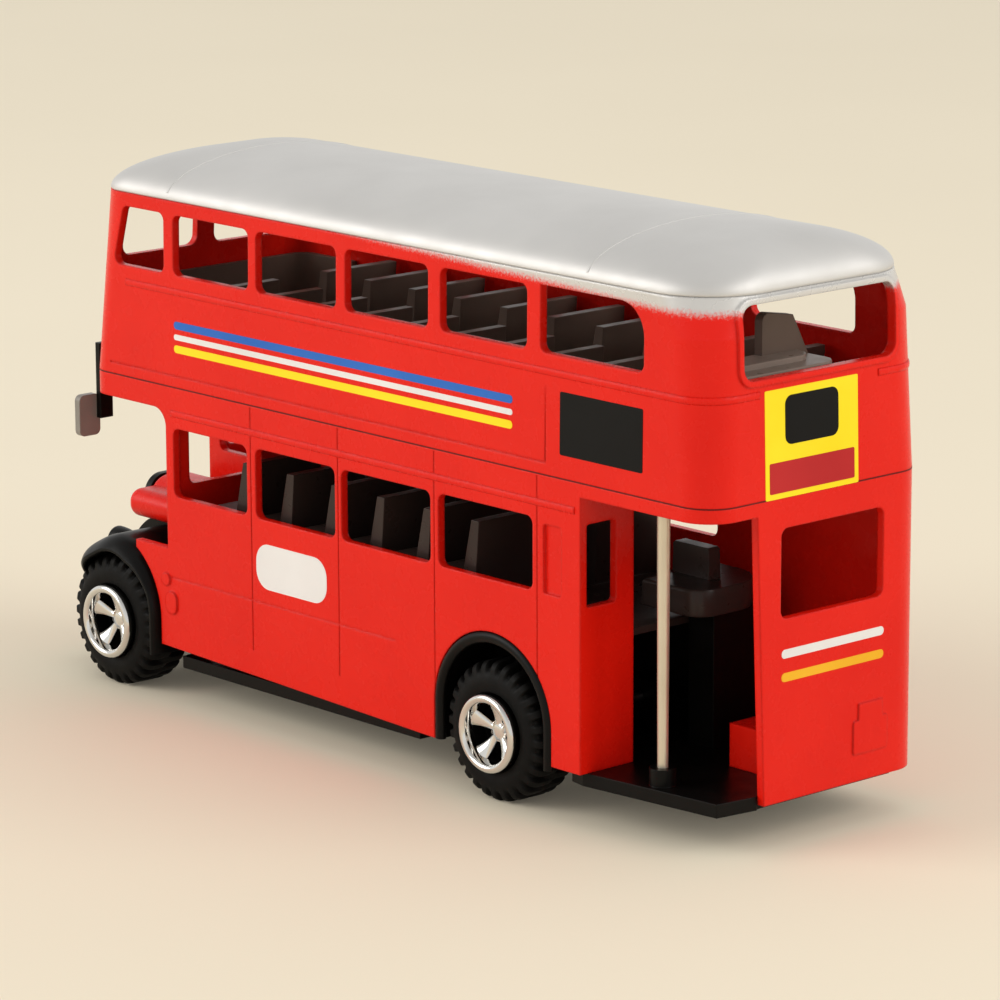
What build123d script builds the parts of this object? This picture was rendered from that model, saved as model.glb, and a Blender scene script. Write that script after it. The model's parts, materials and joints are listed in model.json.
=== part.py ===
import os
from math import cos, radians, sin

from build123d import *

os.makedirs("parts", exist_ok=True)

# Sizes in millimetres: x forward, y to the nearside (left), z up from the floor.
# A station is a distance forward from the flat rear panel.
rear_x = -94.1
shell = 1.6

# Running gear, the base of the other stations
tyre_r = 13.0
axle_z = tyre_r
rear_axle_station = 55.2
wheelbase = 111.6
front_axle_station = rear_axle_station + wheelbase
arch_r = tyre_r + 2.7
arch_z = axle_z + 3.0
arch_top_z = arch_z + arch_r

# Body envelope
body_half = 27.1
tuck = 0.4
gutter_half = body_half - tuck
seam_z = 62.9
deck_height = 36.0
gutter_z = seam_z + deck_height
gutter_rear = 1.0
deck_front = front_axle_station + 5.6
gutter_front = deck_front - 2.4
deck_corner = 5.0
gutter_corner_front = 8.0
rear_corner = 6.5
shoulder_drop = 7.0
shoulder_corner = 8.2
gutter_corner_rear = 13.0
rear_end = gutter_rear + gutter_corner_rear + 2.1
front_end = gutter_front - gutter_corner_front - 0.6
roof_rise = 7.8
roof_rear_run = 16.0
roof_front_run = 20.0
line_width = 0.3
line_depth = 0.12

# Windows
window_r = 1.6
upper_sill_z = seam_z + 21.8
upper_head_z = upper_sill_z + 11.6
lower_sill_z = seam_z - 21.5
lower_head_z = lower_sill_z + 13.5
rear_window_w = 2 * body_half - 16.9
rear_window_h = 13.2
rear_window_z = upper_sill_z + 6.1
rear_frame = 1.1
frame_rise = 0.5

# Lower saloon
saloon_front = front_axle_station - 18.2
skirt_rear_z = 8.3
skirt_slope = 0.0311
canopy_z = seam_z - 4.6
gusset_r = 3.6
rear_panel_edge = body_half - 13.9
rear_panel_flare = 2.1
bulkhead_station = 32.0
bulkhead_edge = body_half - 13.0
entry_top_z = seam_z - 2.6
fin_top_z = 30.9

# Cab and bonnet
cab_front = deck_front - 3.2
cab_bottom_z = arch_top_z
bonnet_front = front_axle_station + 4.8
bonnet_half = 0.225 * body_half
bonnet_mid = bonnet_half + 1.8
bonnet_top_z = cab_bottom_z + 7.6
radiator_mid = 5.6

# Wheels
axle_r = 1.25
axle_clearance = 0.06
wheel_stand_out = 2.0
ring_y = body_half + wheel_stand_out
ring_r = 7.3
tyre_outer_y = ring_y - 1.7
tyre_width = 10.5
tyre_inner_y = tyre_outer_y - tyre_width
tyre_bore_r = 7.0
hub_inset = 2.4
tread_lugs = 28
tread_groove = 1.0
groove_width = 1.2
spokes = 5
spoke_gap = 3.4
dish_y = ring_y - 3.1

# Mudguards
liner_gap = 0.3
liner_wall = 1.3
guard_wall = 1.3
guard_outer_y = body_half - 0.3
wing_tip_z = axle_z + 6.0
wing_taper_run = 14.0
axle_hole_r = 3.0

# Chassis and platform
plate_bottom_z = 6.5
plate_top_z = 8.9
plate_half = body_half - 2.8
wheel_zone_half = tyre_inner_y - 1.4
plate_rear = rear_axle_station + 22.9
platform_top_z = 9.9
platform_thick = 2.5
chassis_front = front_axle_station + 19.2
bumper_depth = 2.5
bumper_half = body_half - 7.5
screw_r = 1.5
screw_spacing = 48.0
screw_mid = 111.6

# Platform pole
pole_r = 1.0
pole_station = 18.0
pole_y = body_half - 6.8
collar_r = 2.4
collar_rise = 3.2

# Seats and stairs
upper_floor = 1.2
floor_rebate = 0.8
rebate_gap = 0.1
lower_floor_thick = 1.4
lower_floor_z = arch_top_z + 0.2 + lower_floor_thick
seat_pitch = 13.0
upper_first_seat = 23.6
lower_first_seat = 63.6
floor_rib_length = saloon_front - plate_rear - 12.5
seat_outer = body_half - shell - 1.7
aisle_half = 6.0
stair_height = 25.1
stair_edge = -1.8
step_front = 18.3
step_edge = 3.5
step_height = 8.0
bench_thick = 5.0

plan = Plane(origin=(rear_x, 0, 0))
side = Plane(origin=(rear_x, 0, 0), x_dir=(1, 0, 0), z_dir=(0, -1, 0))
rear = Plane(origin=(rear_x, 0, 0), x_dir=(0, 1, 0), z_dir=(1, 0, 0))

# Rear and front edge of each plain side window, as shares of the saloon's length
upper_windows = [(0.309, 0.464), (0.486, 0.641), (0.658, 0.814), (0.829, 0.981)]
lower_windows = [(0.482, 0.65), (0.662, 0.818), (0.835, 0.985)]
rearmost_windows = [(0.298, -1), (0.343, 1)]
rearmost_window_front = 0.468
rear_pane_front = 0.286 * saloon_front
panel_lines = [0.29, 0.475, 0.656, 0.827]
band_rear = 0.276 * saloon_front

# Lower body: saloon walls, cab, canopy and the panels around the entrance
with BuildPart() as lower_body:
    with BuildSketch(plan.offset(skirt_rear_z)) as saloon_outline:
        with Locations((saloon_front / 2, 0)):
            Rectangle(saloon_front, 2 * body_half)
        fillet(saloon_outline.vertices().sort_by(Axis.X)[:2], rear_corner)
    extrude(amount=seam_z - skirt_rear_z)
    with BuildSketch(plan.offset(canopy_z)) as canopy_outline:
        with Locations(((saloon_front + deck_front) / 2 - 2, 0)):
            Rectangle(deck_front - saloon_front + 4, 2 * body_half)
        fillet(canopy_outline.vertices().sort_by(Axis.X)[2:], deck_corner)
    extrude(amount=seam_z - canopy_z)
    with BuildSketch(plan.offset(cab_bottom_z)) as cab_outline:
        with Locations(((saloon_front + cab_front) / 2, -body_half / 2)):
            Rectangle(cab_front - saloon_front, body_half)
        fillet(cab_outline.vertices().sort_by(Axis.X)[2:].sort_by(Axis.Y)[:1], deck_corner)
    extrude(amount=seam_z - cab_bottom_z)
    # Hollow saloon, cab and canopy, all open at the seam
    with BuildSketch(plan.offset(skirt_rear_z)) as saloon_room:
        with Locations((saloon_front / 2, 0)):
            Rectangle(saloon_front - 2 * shell, 2 * (body_half - shell))
        fillet(saloon_room.vertices().sort_by(Axis.X)[:2], rear_corner - shell)
    extrude(amount=seam_z - skirt_rear_z, mode=Mode.SUBTRACT)
    with BuildSketch(plan.offset(canopy_z + shell)) as canopy_room:
        with Locations(((saloon_front + deck_front - shell) / 2, 0)):
            Rectangle(deck_front - shell - saloon_front, 2 * (body_half - shell))
        fillet(canopy_room.vertices().sort_by(Axis.X)[2:], deck_corner - shell)
    extrude(amount=seam_z - canopy_z - shell, mode=Mode.SUBTRACT)
    with BuildSketch(plan.offset(cab_bottom_z + shell)) as cab_room:
        with Locations(((saloon_front + cab_front - shell) / 2, -body_half / 2)):
            Rectangle(cab_front - shell - saloon_front, body_half - 2 * shell)
        fillet(cab_room.vertices().sort_by(Axis.X)[2:].sort_by(Axis.Y)[:1], deck_corner - shell)
    extrude(amount=seam_z - cab_bottom_z - shell, mode=Mode.SUBTRACT)
    # Entrance over the platform, and the bulkhead with its narrow window
    with BuildSketch(rear.offset(-2)):
        with BuildLine():
            Polyline(
                (rear_panel_edge, skirt_rear_z),
                (rear_panel_edge + rear_panel_flare, entry_top_z),
                (body_half + 1, entry_top_z),
                (body_half + 1, skirt_rear_z),
                close=True,
            )
        make_face()
    extrude(amount=bulkhead_station + 2, mode=Mode.SUBTRACT)
    with BuildSketch(rear.offset(bulkhead_station)):
        with Locations(((bulkhead_edge + body_half - shell / 2) / 2, (platform_top_z + seam_z) / 2)):
            Rectangle(body_half - shell / 2 - bulkhead_edge, seam_z - platform_top_z)
        with Locations((bulkhead_edge + 7.9, lower_sill_z + 6.3)):
            RectangleRounded(7.3, 15.0, 0.8, mode=Mode.SUBTRACT)
    extrude(amount=shell)
    # Front skirt beside each wheel
    for edge in (-body_half, body_half - shell):
        with BuildSketch(side.offset(edge)):
            with Locations((saloon_front + 4.4, fin_top_z / 2 + 5)):
                Rectangle(11.2, fin_top_z - 10)
            with Locations((front_axle_station, arch_z)):
                Circle(arch_r, mode=Mode.SUBTRACT)
            with Locations((front_axle_station, arch_z / 2)):
                Rectangle(2 * arch_r, arch_z, mode=Mode.SUBTRACT)
        extrude(amount=shell)
    # Windows on both sides with the rear wheel arches, then cab, bulkhead and rear panel
    with BuildSketch(side):
        for first, last in lower_windows:
            with Locations((saloon_front * (first + last) / 2, (lower_sill_z + lower_head_z) / 2)):
                RectangleRounded(saloon_front * (last - first), lower_head_z - lower_sill_z, window_r)
        with Locations(((saloon_front + cab_front) / 2, lower_head_z - 5.6)):
            RectangleRounded(cab_front - saloon_front - 6.6, 11.6, window_r)
        with Locations((rear_axle_station, arch_z)):
            Circle(arch_r)
        with Locations((rear_axle_station, arch_z / 2)):
            Rectangle(2 * arch_r, arch_z)
    extrude(amount=body_half + 1, both=True, mode=Mode.SUBTRACT)
    for first, hand in rearmost_windows:
        with BuildSketch(side):
            middle = saloon_front * (first + rearmost_window_front) / 2
            with Locations((middle, (lower_sill_z + lower_head_z) / 2)):
                RectangleRounded(
                    saloon_front * (rearmost_window_front - first),
                    lower_head_z - lower_sill_z,
                    window_r,
                )
        extrude(amount=hand * (body_half + 1), mode=Mode.SUBTRACT)
    with BuildSketch(rear.offset(saloon_front - shell - 0.5)):
        with Locations((body_half / 2 + 0.3, lower_head_z - 5.8), (-body_half / 2 - 0.3, lower_head_z - 5.8)):
            RectangleRounded(body_half - 9.3, 12.0, window_r)
    extrude(amount=shell + 1, mode=Mode.SUBTRACT)
    with BuildSketch(rear.offset(cab_front - shell - 0.5)):
        with Locations((0.5 - body_half / 2, lower_head_z - 5.4)):
            RectangleRounded(body_half - 7.3, 11.4, window_r)
    extrude(amount=shell + 1, mode=Mode.SUBTRACT)
    with BuildSketch(rear.offset(-0.5)):
        with Locations(((rear_panel_edge - body_half) / 2 + 3.65, lower_sill_z + 7.9)):
            RectangleRounded(rear_panel_edge + body_half - 14.7, 16.2, window_r)
    extrude(amount=shell + 1, mode=Mode.SUBTRACT)
    # Lower edge: rises forward of the rear wheel, lifted over the platform beside the bulkhead
    with BuildSketch(side):
        with BuildLine():
            Polyline(
                (rear_axle_station, skirt_rear_z - 1),
                (deck_front, skirt_rear_z - 1),
                (deck_front, skirt_rear_z + skirt_slope * (deck_front - rear_axle_station)),
                (rear_axle_station, skirt_rear_z),
                close=True,
            )
        make_face()
        with Locations((bulkhead_station + 4.6, skirt_rear_z)):
            Rectangle(12.0, 2 * (platform_top_z - skirt_rear_z))
    extrude(amount=body_half + 1, both=True, mode=Mode.SUBTRACT)
    # First step inside the rear panel, low plate boxes outside it, feet on the chassis
    with BuildSketch(plan.offset(platform_top_z)):
        with Locations(((shell + step_front) / 2 - 0.25, step_edge - 5.0)):
            Rectangle(step_front - shell + 0.5, 10.0)
    extrude(amount=step_height)
    with BuildSketch(rear.offset(-0.3)):
        with Locations((13.9 - body_half, skirt_rear_z + 8.1)):
            RectangleRounded(8.7, 6.2, 0.6)
        with Locations((13.9 - body_half, skirt_rear_z + 12.6)):
            Rectangle(6.1, 3.2)
    extrude(amount=0.8)
    with BuildSketch(plan.offset(plate_top_z)):
        with Locations((saloon_front - 2.5, 8.5), (saloon_front - 2.5, -8.5)):
            Rectangle(4.0, 4.0)
    extrude(amount=12.0)
    # Curved gusset under the canopy on the nearside
    with BuildSketch(side.offset(-body_half)):
        with Locations((saloon_front + gusset_r / 2, canopy_z - gusset_r / 2)):
            Rectangle(gusset_r, gusset_r)
        with Locations((saloon_front + gusset_r, canopy_z - gusset_r)):
            Circle(gusset_r, mode=Mode.SUBTRACT)
    extrude(amount=body_half)
    # Moulded lines, blank panel and bosses on both sides
    for edge, hand in ((-body_half, 1), (body_half, -1)):
        with BuildSketch(side.offset(edge + hand * line_depth)):
            with Locations(*[(saloon_front * share, lower_sill_z - 2.5) for share in panel_lines]):
                Rectangle(line_width, 2 * (seam_z - lower_sill_z) + 4.2)
            with Locations((saloon_front - 34.0, lower_sill_z - 16.2)):
                Rectangle(66.0, line_width)
        extrude(amount=-hand * (line_depth + 1), mode=Mode.SUBTRACT)
        with BuildSketch(side.offset(edge + hand * 0.6)):
            with Locations((bulkhead_station + 7.2, lower_sill_z + 6.3)):
                RectangleRounded(4.6, 12.6, 0.6)
        extrude(amount=-hand * 1.6, mode=Mode.SUBTRACT)
        with BuildSketch(side.offset(edge + hand * 0.5)):
            with Locations((saloon_front + 0.6, lower_sill_z - 16.8)):
                Circle(1.3)
            with Locations((saloon_front - 1.0, lower_sill_z - 21.3)):
                RectangleRounded(3.4, 4.4, 1.5)
        extrude(amount=-hand * 0.9)
lower_body.part.label = "lower_body"
export_step(lower_body.part, "parts/lower_body.step")

# Upper body: flat walls that tuck in towards the gutter, with lofted ends whose corners widen upwards
# Columns of an end's levels: height, half width, station of the end, corner radius
shoulder = 1 - shoulder_drop / deck_height
rear_levels = [
    (seam_z, body_half, 0.0, rear_corner),
    (gutter_z - shoulder_drop, body_half - shoulder * tuck, shoulder * gutter_rear, shoulder_corner),
    (gutter_z, gutter_half, gutter_rear, gutter_corner_rear),
]
front_levels = [
    (seam_z, body_half, deck_front, deck_corner),
    (gutter_z, gutter_half, gutter_front, gutter_corner_front),
]
end_shells = []
for levels, join, inward in ((rear_levels, rear_end, 1), (front_levels, front_end, -1)):
    with BuildPart() as end_shell:
        for inset, how in ((0.0, Mode.ADD), (shell, Mode.SUBTRACT)):
            for z, half, tip, corner in levels:
                base = tip + inward * inset
                with BuildSketch(plan.offset(z)) as ring:
                    with Locations(((base + join) / 2, 0)):
                        Rectangle(abs(join - base), 2 * (half - inset))
                    corners = ring.vertices().sort_by(Axis.X)
                    fillet(corners[:2] if inward > 0 else corners[2:], corner - inset)
            loft(ruled=True, mode=how)
    end_shells.append(end_shell.part)

# Raised frame of the rear window, following the corners of the rear end
with BuildPart() as window_frame:
    for inset, how in ((-frame_rise, Mode.ADD), (shell / 2, Mode.SUBTRACT)):
        for z, half, tip, corner in rear_levels:
            with BuildSketch(plan.offset(z)) as ring:
                with Locations(((tip + inset + rear_end) / 2, 0)):
                    Rectangle(rear_end - tip - inset, 2 * (half - inset))
                fillet(ring.vertices().sort_by(Axis.X)[:2], corner - inset)
        loft(ruled=True, mode=how)
    with BuildSketch(rear.offset(-2)):
        with Locations((0, rear_window_z)):
            RectangleRounded(rear_window_w + 2 * rear_frame, rear_window_h + 2 * rear_frame, 3.4)
    extrude(amount=rear_end, mode=Mode.INTERSECT)

with BuildPart() as upper_body:
    with BuildSketch(rear.offset(rear_end)):
        for hand in (1, -1):
            with BuildLine():
                Polyline(
                    (hand * body_half, seam_z),
                    (hand * gutter_half, gutter_z),
                    (hand * (gutter_half - shell), gutter_z),
                    (hand * (body_half - shell), seam_z),
                    close=True,
                )
            make_face()
    extrude(amount=front_end - rear_end)
    add(end_shells)
    # Rebate over the edge of the upper floor
    with BuildSketch(plan.offset(seam_z)) as rebate:
        with Locations((deck_front / 2, 0)):
            Rectangle(
                deck_front - 2 * (floor_rebate - rebate_gap),
                2 * (body_half - floor_rebate + rebate_gap),
            )
        fillet(rebate.vertices().sort_by(Axis.X)[:2], rear_corner - floor_rebate + rebate_gap)
        fillet(rebate.vertices().sort_by(Axis.X)[-2:], deck_corner - floor_rebate + rebate_gap)
    extrude(amount=upper_floor + rebate_gap, mode=Mode.SUBTRACT)
    add(window_frame.part)
    # Side windows; the foremost has a raked edge, the rearmost a large upper rear corner
    with BuildSketch(side):
        for first, last in upper_windows:
            with Locations((saloon_front * (first + last) / 2, (upper_sill_z + upper_head_z) / 2)):
                RectangleRounded(saloon_front * (last - first), upper_head_z - upper_sill_z, window_r)
        with BuildLine():
            Polyline(
                (saloon_front, upper_sill_z),
                (deck_front - 8.2, upper_sill_z),
                (deck_front - 11.4, upper_head_z),
                (saloon_front, upper_head_z),
                close=True,
            )
        front_pane = make_face()
        fillet(front_pane.vertices().sort_by(Axis.X)[-4:], window_r)
    extrude(amount=body_half + 1, both=True, mode=Mode.SUBTRACT)
    with BuildSketch(side) as rear_pane:
        with BuildLine():
            Polyline(
                (rear_end + 0.2, upper_sill_z),
                (rear_pane_front, upper_sill_z),
                (rear_pane_front, upper_head_z + 0.4),
                (rear_end + 0.2, upper_head_z + 0.4),
                close=True,
            )
        make_face()
        fillet(rear_pane.vertices().sort_by(Axis.X)[:2].sort_by(Axis.Y)[1:], 6.0)
        fillet(rear_pane.vertices().sort_by(Axis.Y)[:2], window_r)
    extrude(amount=body_half + 1, both=True, mode=Mode.SUBTRACT)
    with BuildSketch(rear.offset(-1)):
        with Locations((0, rear_window_z)):
            RectangleRounded(rear_window_w, rear_window_h, 2.4)
    extrude(amount=9, mode=Mode.SUBTRACT)
    with BuildSketch(rear.offset(gutter_front - 6)):
        with Locations((0.42 * body_half, upper_sill_z + 5.8), (-0.42 * body_half, upper_sill_z + 5.8)):
            RectangleRounded(0.84 * body_half - 4.2, upper_head_z - upper_sill_z, 2.0)
    extrude(amount=10, mode=Mode.SUBTRACT)
    # Moulded border lines of the side band
    for edge, hand in ((-body_half, 1), (body_half, -1)):
        with BuildSketch(side.offset(edge + hand * (line_depth + 0.1))):
            with Locations(((band_rear + deck_front - 6.8) / 2, seam_z + 2.3)):
                Rectangle(deck_front - 6.8 - band_rear, line_width)
            with Locations((band_rear, seam_z + 9.2)):
                Rectangle(line_width, 14.0)
        extrude(amount=-hand * (line_depth + 1), mode=Mode.SUBTRACT)
upper_body.part.label = "upper_body"
export_step(upper_body.part, "parts/upper_body.step")

# Roof: an elliptic dome lofted through level outlines, with an arched hollow underneath
roof_levels = [0, 12, 24, 36, 47, 57, 66, 74, 81]
with BuildPart() as roof:
    for degrees in roof_levels:
        draw = 1 - cos(radians(degrees))
        half = gutter_half * (1 - draw)
        first = gutter_rear + roof_rear_run * draw
        last = gutter_front - roof_front_run * draw
        height = gutter_z + roof_rise * sin(radians(degrees)) / sin(radians(roof_levels[-1]))
        share = (half / gutter_half) ** 0.6
        with BuildSketch(plan.offset(height)) as level:
            with Locations(((first + last) / 2, 0)):
                Rectangle(last - first, 2 * half)
            corners = level.vertices().sort_by(Axis.X)
            fillet(corners[:2], half * (1 - (1 - gutter_corner_rear / gutter_half) * share))
            corners = level.vertices().sort_by(Axis.X)
            fillet(corners[-2:], half * (1 - (1 - gutter_corner_front / gutter_half) * share))
    loft(ruled=True)
    hollow_rear = gutter_rear + 0.57 * roof_rear_run
    hollow_front = gutter_front - 0.68 * roof_front_run
    with BuildSketch(rear.offset(hollow_rear)):
        with Locations((0, gutter_z)):
            Ellipse(gutter_half - shell, roof_rise - shell)
    extrude(amount=hollow_front - hollow_rear, mode=Mode.SUBTRACT)
roof.part.label = "roof"
export_step(roof.part, "parts/roof.step")

# Upper floor with its rows of double seats
with BuildPart() as upper_seats:
    with BuildSketch(plan.offset(seam_z)) as floor_outline:
        with Locations((deck_front / 2, 0)):
            Rectangle(deck_front - 2 * floor_rebate, 2 * (body_half - floor_rebate))
        fillet(floor_outline.vertices().sort_by(Axis.X)[:2], rear_corner - floor_rebate)
        fillet(floor_outline.vertices().sort_by(Axis.X)[-2:], deck_corner - floor_rebate)
    extrude(amount=upper_floor)
    seat_base = seam_z + upper_floor
    for row in range(int((deck_front - upper_first_seat - 19.0) / seat_pitch) + 1):
        back = upper_first_seat + row * seat_pitch
        with BuildSketch(side):
            with BuildLine():
                Polyline(
                    (back, seat_base),
                    (back + 1.7, seat_base),
                    (back + 2.4, seat_base + 5.0),
                    (back + 9.5, seat_base + 5.6),
                    (back + 9.5, seat_base + 7.2),
                    (back + 3.0, seat_base + 6.6),
                    (back + 0.6, seat_base + 18.0),
                    (back - 1.4, seat_base + 18.0),
                    close=True,
                )
            make_face()
        extrude(amount=seat_outer, both=True)
    with BuildSketch(plan.offset(seat_base)):
        with Locations((deck_front / 2, 0)):
            Rectangle(deck_front, 2 * aisle_half)
    extrude(amount=20.0, mode=Mode.SUBTRACT)
upper_seats.part.label = "upper_seats"
export_step(upper_seats.part, "parts/upper_seats.step")

# Lower floor with its rows of double seats, standing on two ribs
with BuildPart() as lower_seats:
    with BuildSketch(plan.offset(lower_floor_z - lower_floor_thick)):
        with Locations(((bulkhead_station + saloon_front) / 2 + 0.3, 0)):
            Rectangle(saloon_front - bulkhead_station - 6.6, 2 * (body_half - shell - 0.5))
    extrude(amount=lower_floor_thick)
    for row in range(int((saloon_front - lower_first_seat - 9.5) / seat_pitch) + 1):
        back = lower_first_seat + row * seat_pitch
        with BuildSketch(side):
            with BuildLine():
                Polyline(
                    (back, lower_floor_z),
                    (back + 1.7, lower_floor_z),
                    (back + 2.4, lower_floor_z + 5.0),
                    (back + 9.5, lower_floor_z + 5.6),
                    (back + 9.5, lower_floor_z + 7.2),
                    (back + 3.0, lower_floor_z + 6.6),
                    (back + 0.6, lower_floor_z + 17.0),
                    (back - 1.4, lower_floor_z + 17.0),
                    close=True,
                )
            make_face()
        extrude(amount=seat_outer, both=True)
    with BuildSketch(plan.offset(lower_floor_z)):
        with Locations((saloon_front / 2, 0)):
            Rectangle(saloon_front, 2 * aisle_half)
    extrude(amount=20.0, mode=Mode.SUBTRACT)
    with BuildSketch(plan.offset(plate_top_z)):
        with Locations((plate_rear + 4.5 + floor_rib_length / 2, 0)):
            with GridLocations(0, 18.0, 1, 2):
                Rectangle(floor_rib_length, 1.6)
    extrude(amount=lower_floor_z - lower_floor_thick - plate_top_z)
lower_seats.part.label = "lower_seats"
export_step(lower_seats.part, "parts/lower_seats.step")

# Stair block, and the bench above it with its rounded end and its back
with BuildPart() as stair_block:
    with BuildSketch(plan.offset(platform_top_z)):
        with Locations((bulkhead_station - 1.0, (stair_edge - seat_outer) / 2)):
            Rectangle(6.4, seat_outer + stair_edge)
    extrude(amount=stair_height)
stair_block.part.label = "stair_block"
export_step(stair_block.part, "parts/stair_block.step")

bench_z = platform_top_z + stair_height
bench_rear = bulkhead_station - 5.2
with BuildPart() as landing_seat:
    with BuildSketch(plan.offset(bench_z)) as bench_outline:
        with Locations((bench_rear + 7.4, (stair_edge + 4.6 - seat_outer) / 2)):
            Rectangle(14.8, seat_outer + stair_edge + 4.6)
        fillet(bench_outline.vertices().sort_by(Axis.X)[:2].sort_by(Axis.Y)[-1:], 8.0)
    extrude(amount=bench_thick)
    with BuildSketch(side.offset(-stair_edge - 2.6)):
        with BuildLine():
            Polyline(
                (bench_rear + 9.2, bench_z + bench_thick),
                (bench_rear + 13.6, bench_z + bench_thick),
                (bench_rear + 13.6, bench_z + bench_thick + 5.8),
                (bench_rear + 11.6, bench_z + bench_thick + 5.8),
                close=True,
            )
        make_face()
    extrude(amount=seat_outer + stair_edge + 1.6)
landing_seat.part.label = "landing_seat"
export_step(landing_seat.part, "parts/landing_seat.step")

# Chassis: plate, rear platform, pole collar and axle bearers
platform_side = body_half - 1.9
with BuildPart() as chassis:
    with BuildSketch(plan.offset(plate_bottom_z)):
        with Locations(((bulkhead_station + chassis_front) / 2, 0)):
            Rectangle(chassis_front - bulkhead_station, 2 * wheel_zone_half)
        with Locations(((plate_rear + saloon_front - 0.5) / 2, 0)):
            Rectangle(saloon_front - 0.5 - plate_rear, 2 * plate_half)
    extrude(amount=plate_top_z - plate_bottom_z)
    with BuildSketch(plan.offset(platform_top_z - platform_thick)):
        with BuildLine():
            Polyline(
                (shell + 0.3, 6.7 - body_half),
                (shell + 5.3, -platform_side),
                (bulkhead_station + 4.6, -platform_side),
                (bulkhead_station + 4.6, platform_side - 0.5),
                (bulkhead_station + 1.1, platform_side + 0.2),
                (2.6, body_half - 4.9),
                (1.4, rear_panel_edge + 0.45),
                (shell + 0.3, rear_panel_edge - 0.3),
                close=True,
            )
        make_face()
    extrude(amount=platform_thick)
    with BuildSketch(plan.offset(platform_top_z)):
        with Locations((pole_station, pole_y)):
            Circle(collar_r)
            Circle(pole_r, mode=Mode.SUBTRACT)
    extrude(amount=collar_rise)
    for station in (rear_axle_station, front_axle_station):
        with BuildSketch(plan.offset(plate_top_z)):
            with Locations((station, wheel_zone_half - 4.0), (station, 4.0 - wheel_zone_half)):
                Rectangle(8.0, 4.0)
        extrude(amount=axle_z + 3.5 - plate_top_z)
        with BuildSketch(side):
            with Locations((station, axle_z)):
                Circle(axle_r + axle_clearance)
        extrude(amount=wheel_zone_half, both=True, mode=Mode.SUBTRACT)
    with BuildSketch(plan.offset(plate_bottom_z)):
        with Locations((screw_mid - screw_spacing / 2, 0), (screw_mid + screw_spacing / 2, 0)):
            Circle(screw_r)
    extrude(amount=plate_top_z - plate_bottom_z, mode=Mode.SUBTRACT)
chassis.part.label = "chassis"
export_step(chassis.part, "parts/chassis.step")

# Mudguards: an arched strip with straight legs and an inner wall; the wings stop short and taper in front
guards = [
    ("wing_left", front_axle_station, wing_tip_z, 1),
    ("wing_right", front_axle_station, wing_tip_z, -1),
    ("rear_liner_left", rear_axle_station, plate_top_z, 1),
    ("rear_liner_right", rear_axle_station, plate_top_z, -1),
]
for name, station, front_z, hand in guards:
    with BuildPart() as guard:
        for radius, inner_y, how in (
            (arch_r - liner_gap, wheel_zone_half - guard_wall, Mode.ADD),
            (arch_r - liner_gap - liner_wall, wheel_zone_half, Mode.SUBTRACT),
        ):
            with BuildSketch(side.offset(-guard_outer_y)):
                with Locations((station, arch_z)):
                    Circle(radius)
                with Locations((station, (plate_top_z + arch_z) / 2)):
                    Rectangle(2 * radius, arch_z - plate_top_z)
                with Locations((station, plate_top_z - arch_r)):
                    Rectangle(4 * arch_r, 2 * arch_r, mode=Mode.SUBTRACT)
            extrude(amount=guard_outer_y - inner_y, mode=how)
        with BuildSketch(side.offset(-guard_outer_y)):
            with Locations((station + arch_r, front_z - arch_r)):
                Rectangle(arch_r, 2 * arch_r)
        extrude(amount=guard_outer_y, mode=Mode.SUBTRACT)
        if station == front_axle_station:
            with BuildSketch(plan.offset(plate_top_z)):
                with Locations((station + 4.0 + arch_r / 2, (wheel_zone_half + body_half) / 2)):
                    Rectangle(arch_r, body_half - wheel_zone_half)
                with Locations((station + 4.0, wheel_zone_half)):
                    Ellipse(wing_taper_run, guard_outer_y - wheel_zone_half, mode=Mode.SUBTRACT)
            extrude(amount=arch_top_z, mode=Mode.SUBTRACT)
        with BuildSketch(side.offset(-wheel_zone_half)):
            with Locations((station, axle_z)):
                Circle(axle_hole_r)
            with Locations((station, axle_z - 10)):
                Rectangle(2 * axle_hole_r, 20)
        extrude(amount=guard_wall, mode=Mode.SUBTRACT)
        if hand < 0:
            mirror(about=Plane.XZ, mode=Mode.REPLACE)
    guard.part.label = name
    export_step(guard.part, "parts/" + name + ".step")

# Bonnet with a rounded nose, and the rounded bulge along its side
with BuildPart() as bulge:
    with BuildSketch(rear.offset(saloon_front)) as bulge_end:
        with Locations((bonnet_mid + bonnet_half + 1.0, arch_top_z + 0.3 + 2.8)):
            Rectangle(8.4, 5.6)
        fillet(bulge_end.vertices().sort_by(Axis.X)[-2:], 2.6)
    extrude(amount=bonnet_front - saloon_front)
    nose = bulge.faces().sort_by(Axis.X)[-1].edges()
    fillet(nose.filter_by(GeomType.CIRCLE), 1.8)

with BuildPart() as bonnet:
    with BuildSketch(rear.offset(saloon_front)) as bonnet_end:
        with Locations((bonnet_mid, (cab_bottom_z + bonnet_top_z) / 2)):
            Rectangle(2 * bonnet_half, bonnet_top_z - cab_bottom_z)
        fillet(bonnet_end.vertices().sort_by(Axis.Y)[-2:], 4.6)
    extrude(amount=bonnet_front - saloon_front)
    nose = bonnet.faces().sort_by(Axis.X)[-1].edges().sort_by(Axis.Z)[1:]
    fillet(nose, 1.4)
    add(bulge.part)
bonnet.part.label = "bonnet"
export_step(bonnet.part, "parts/bonnet.step")

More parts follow.
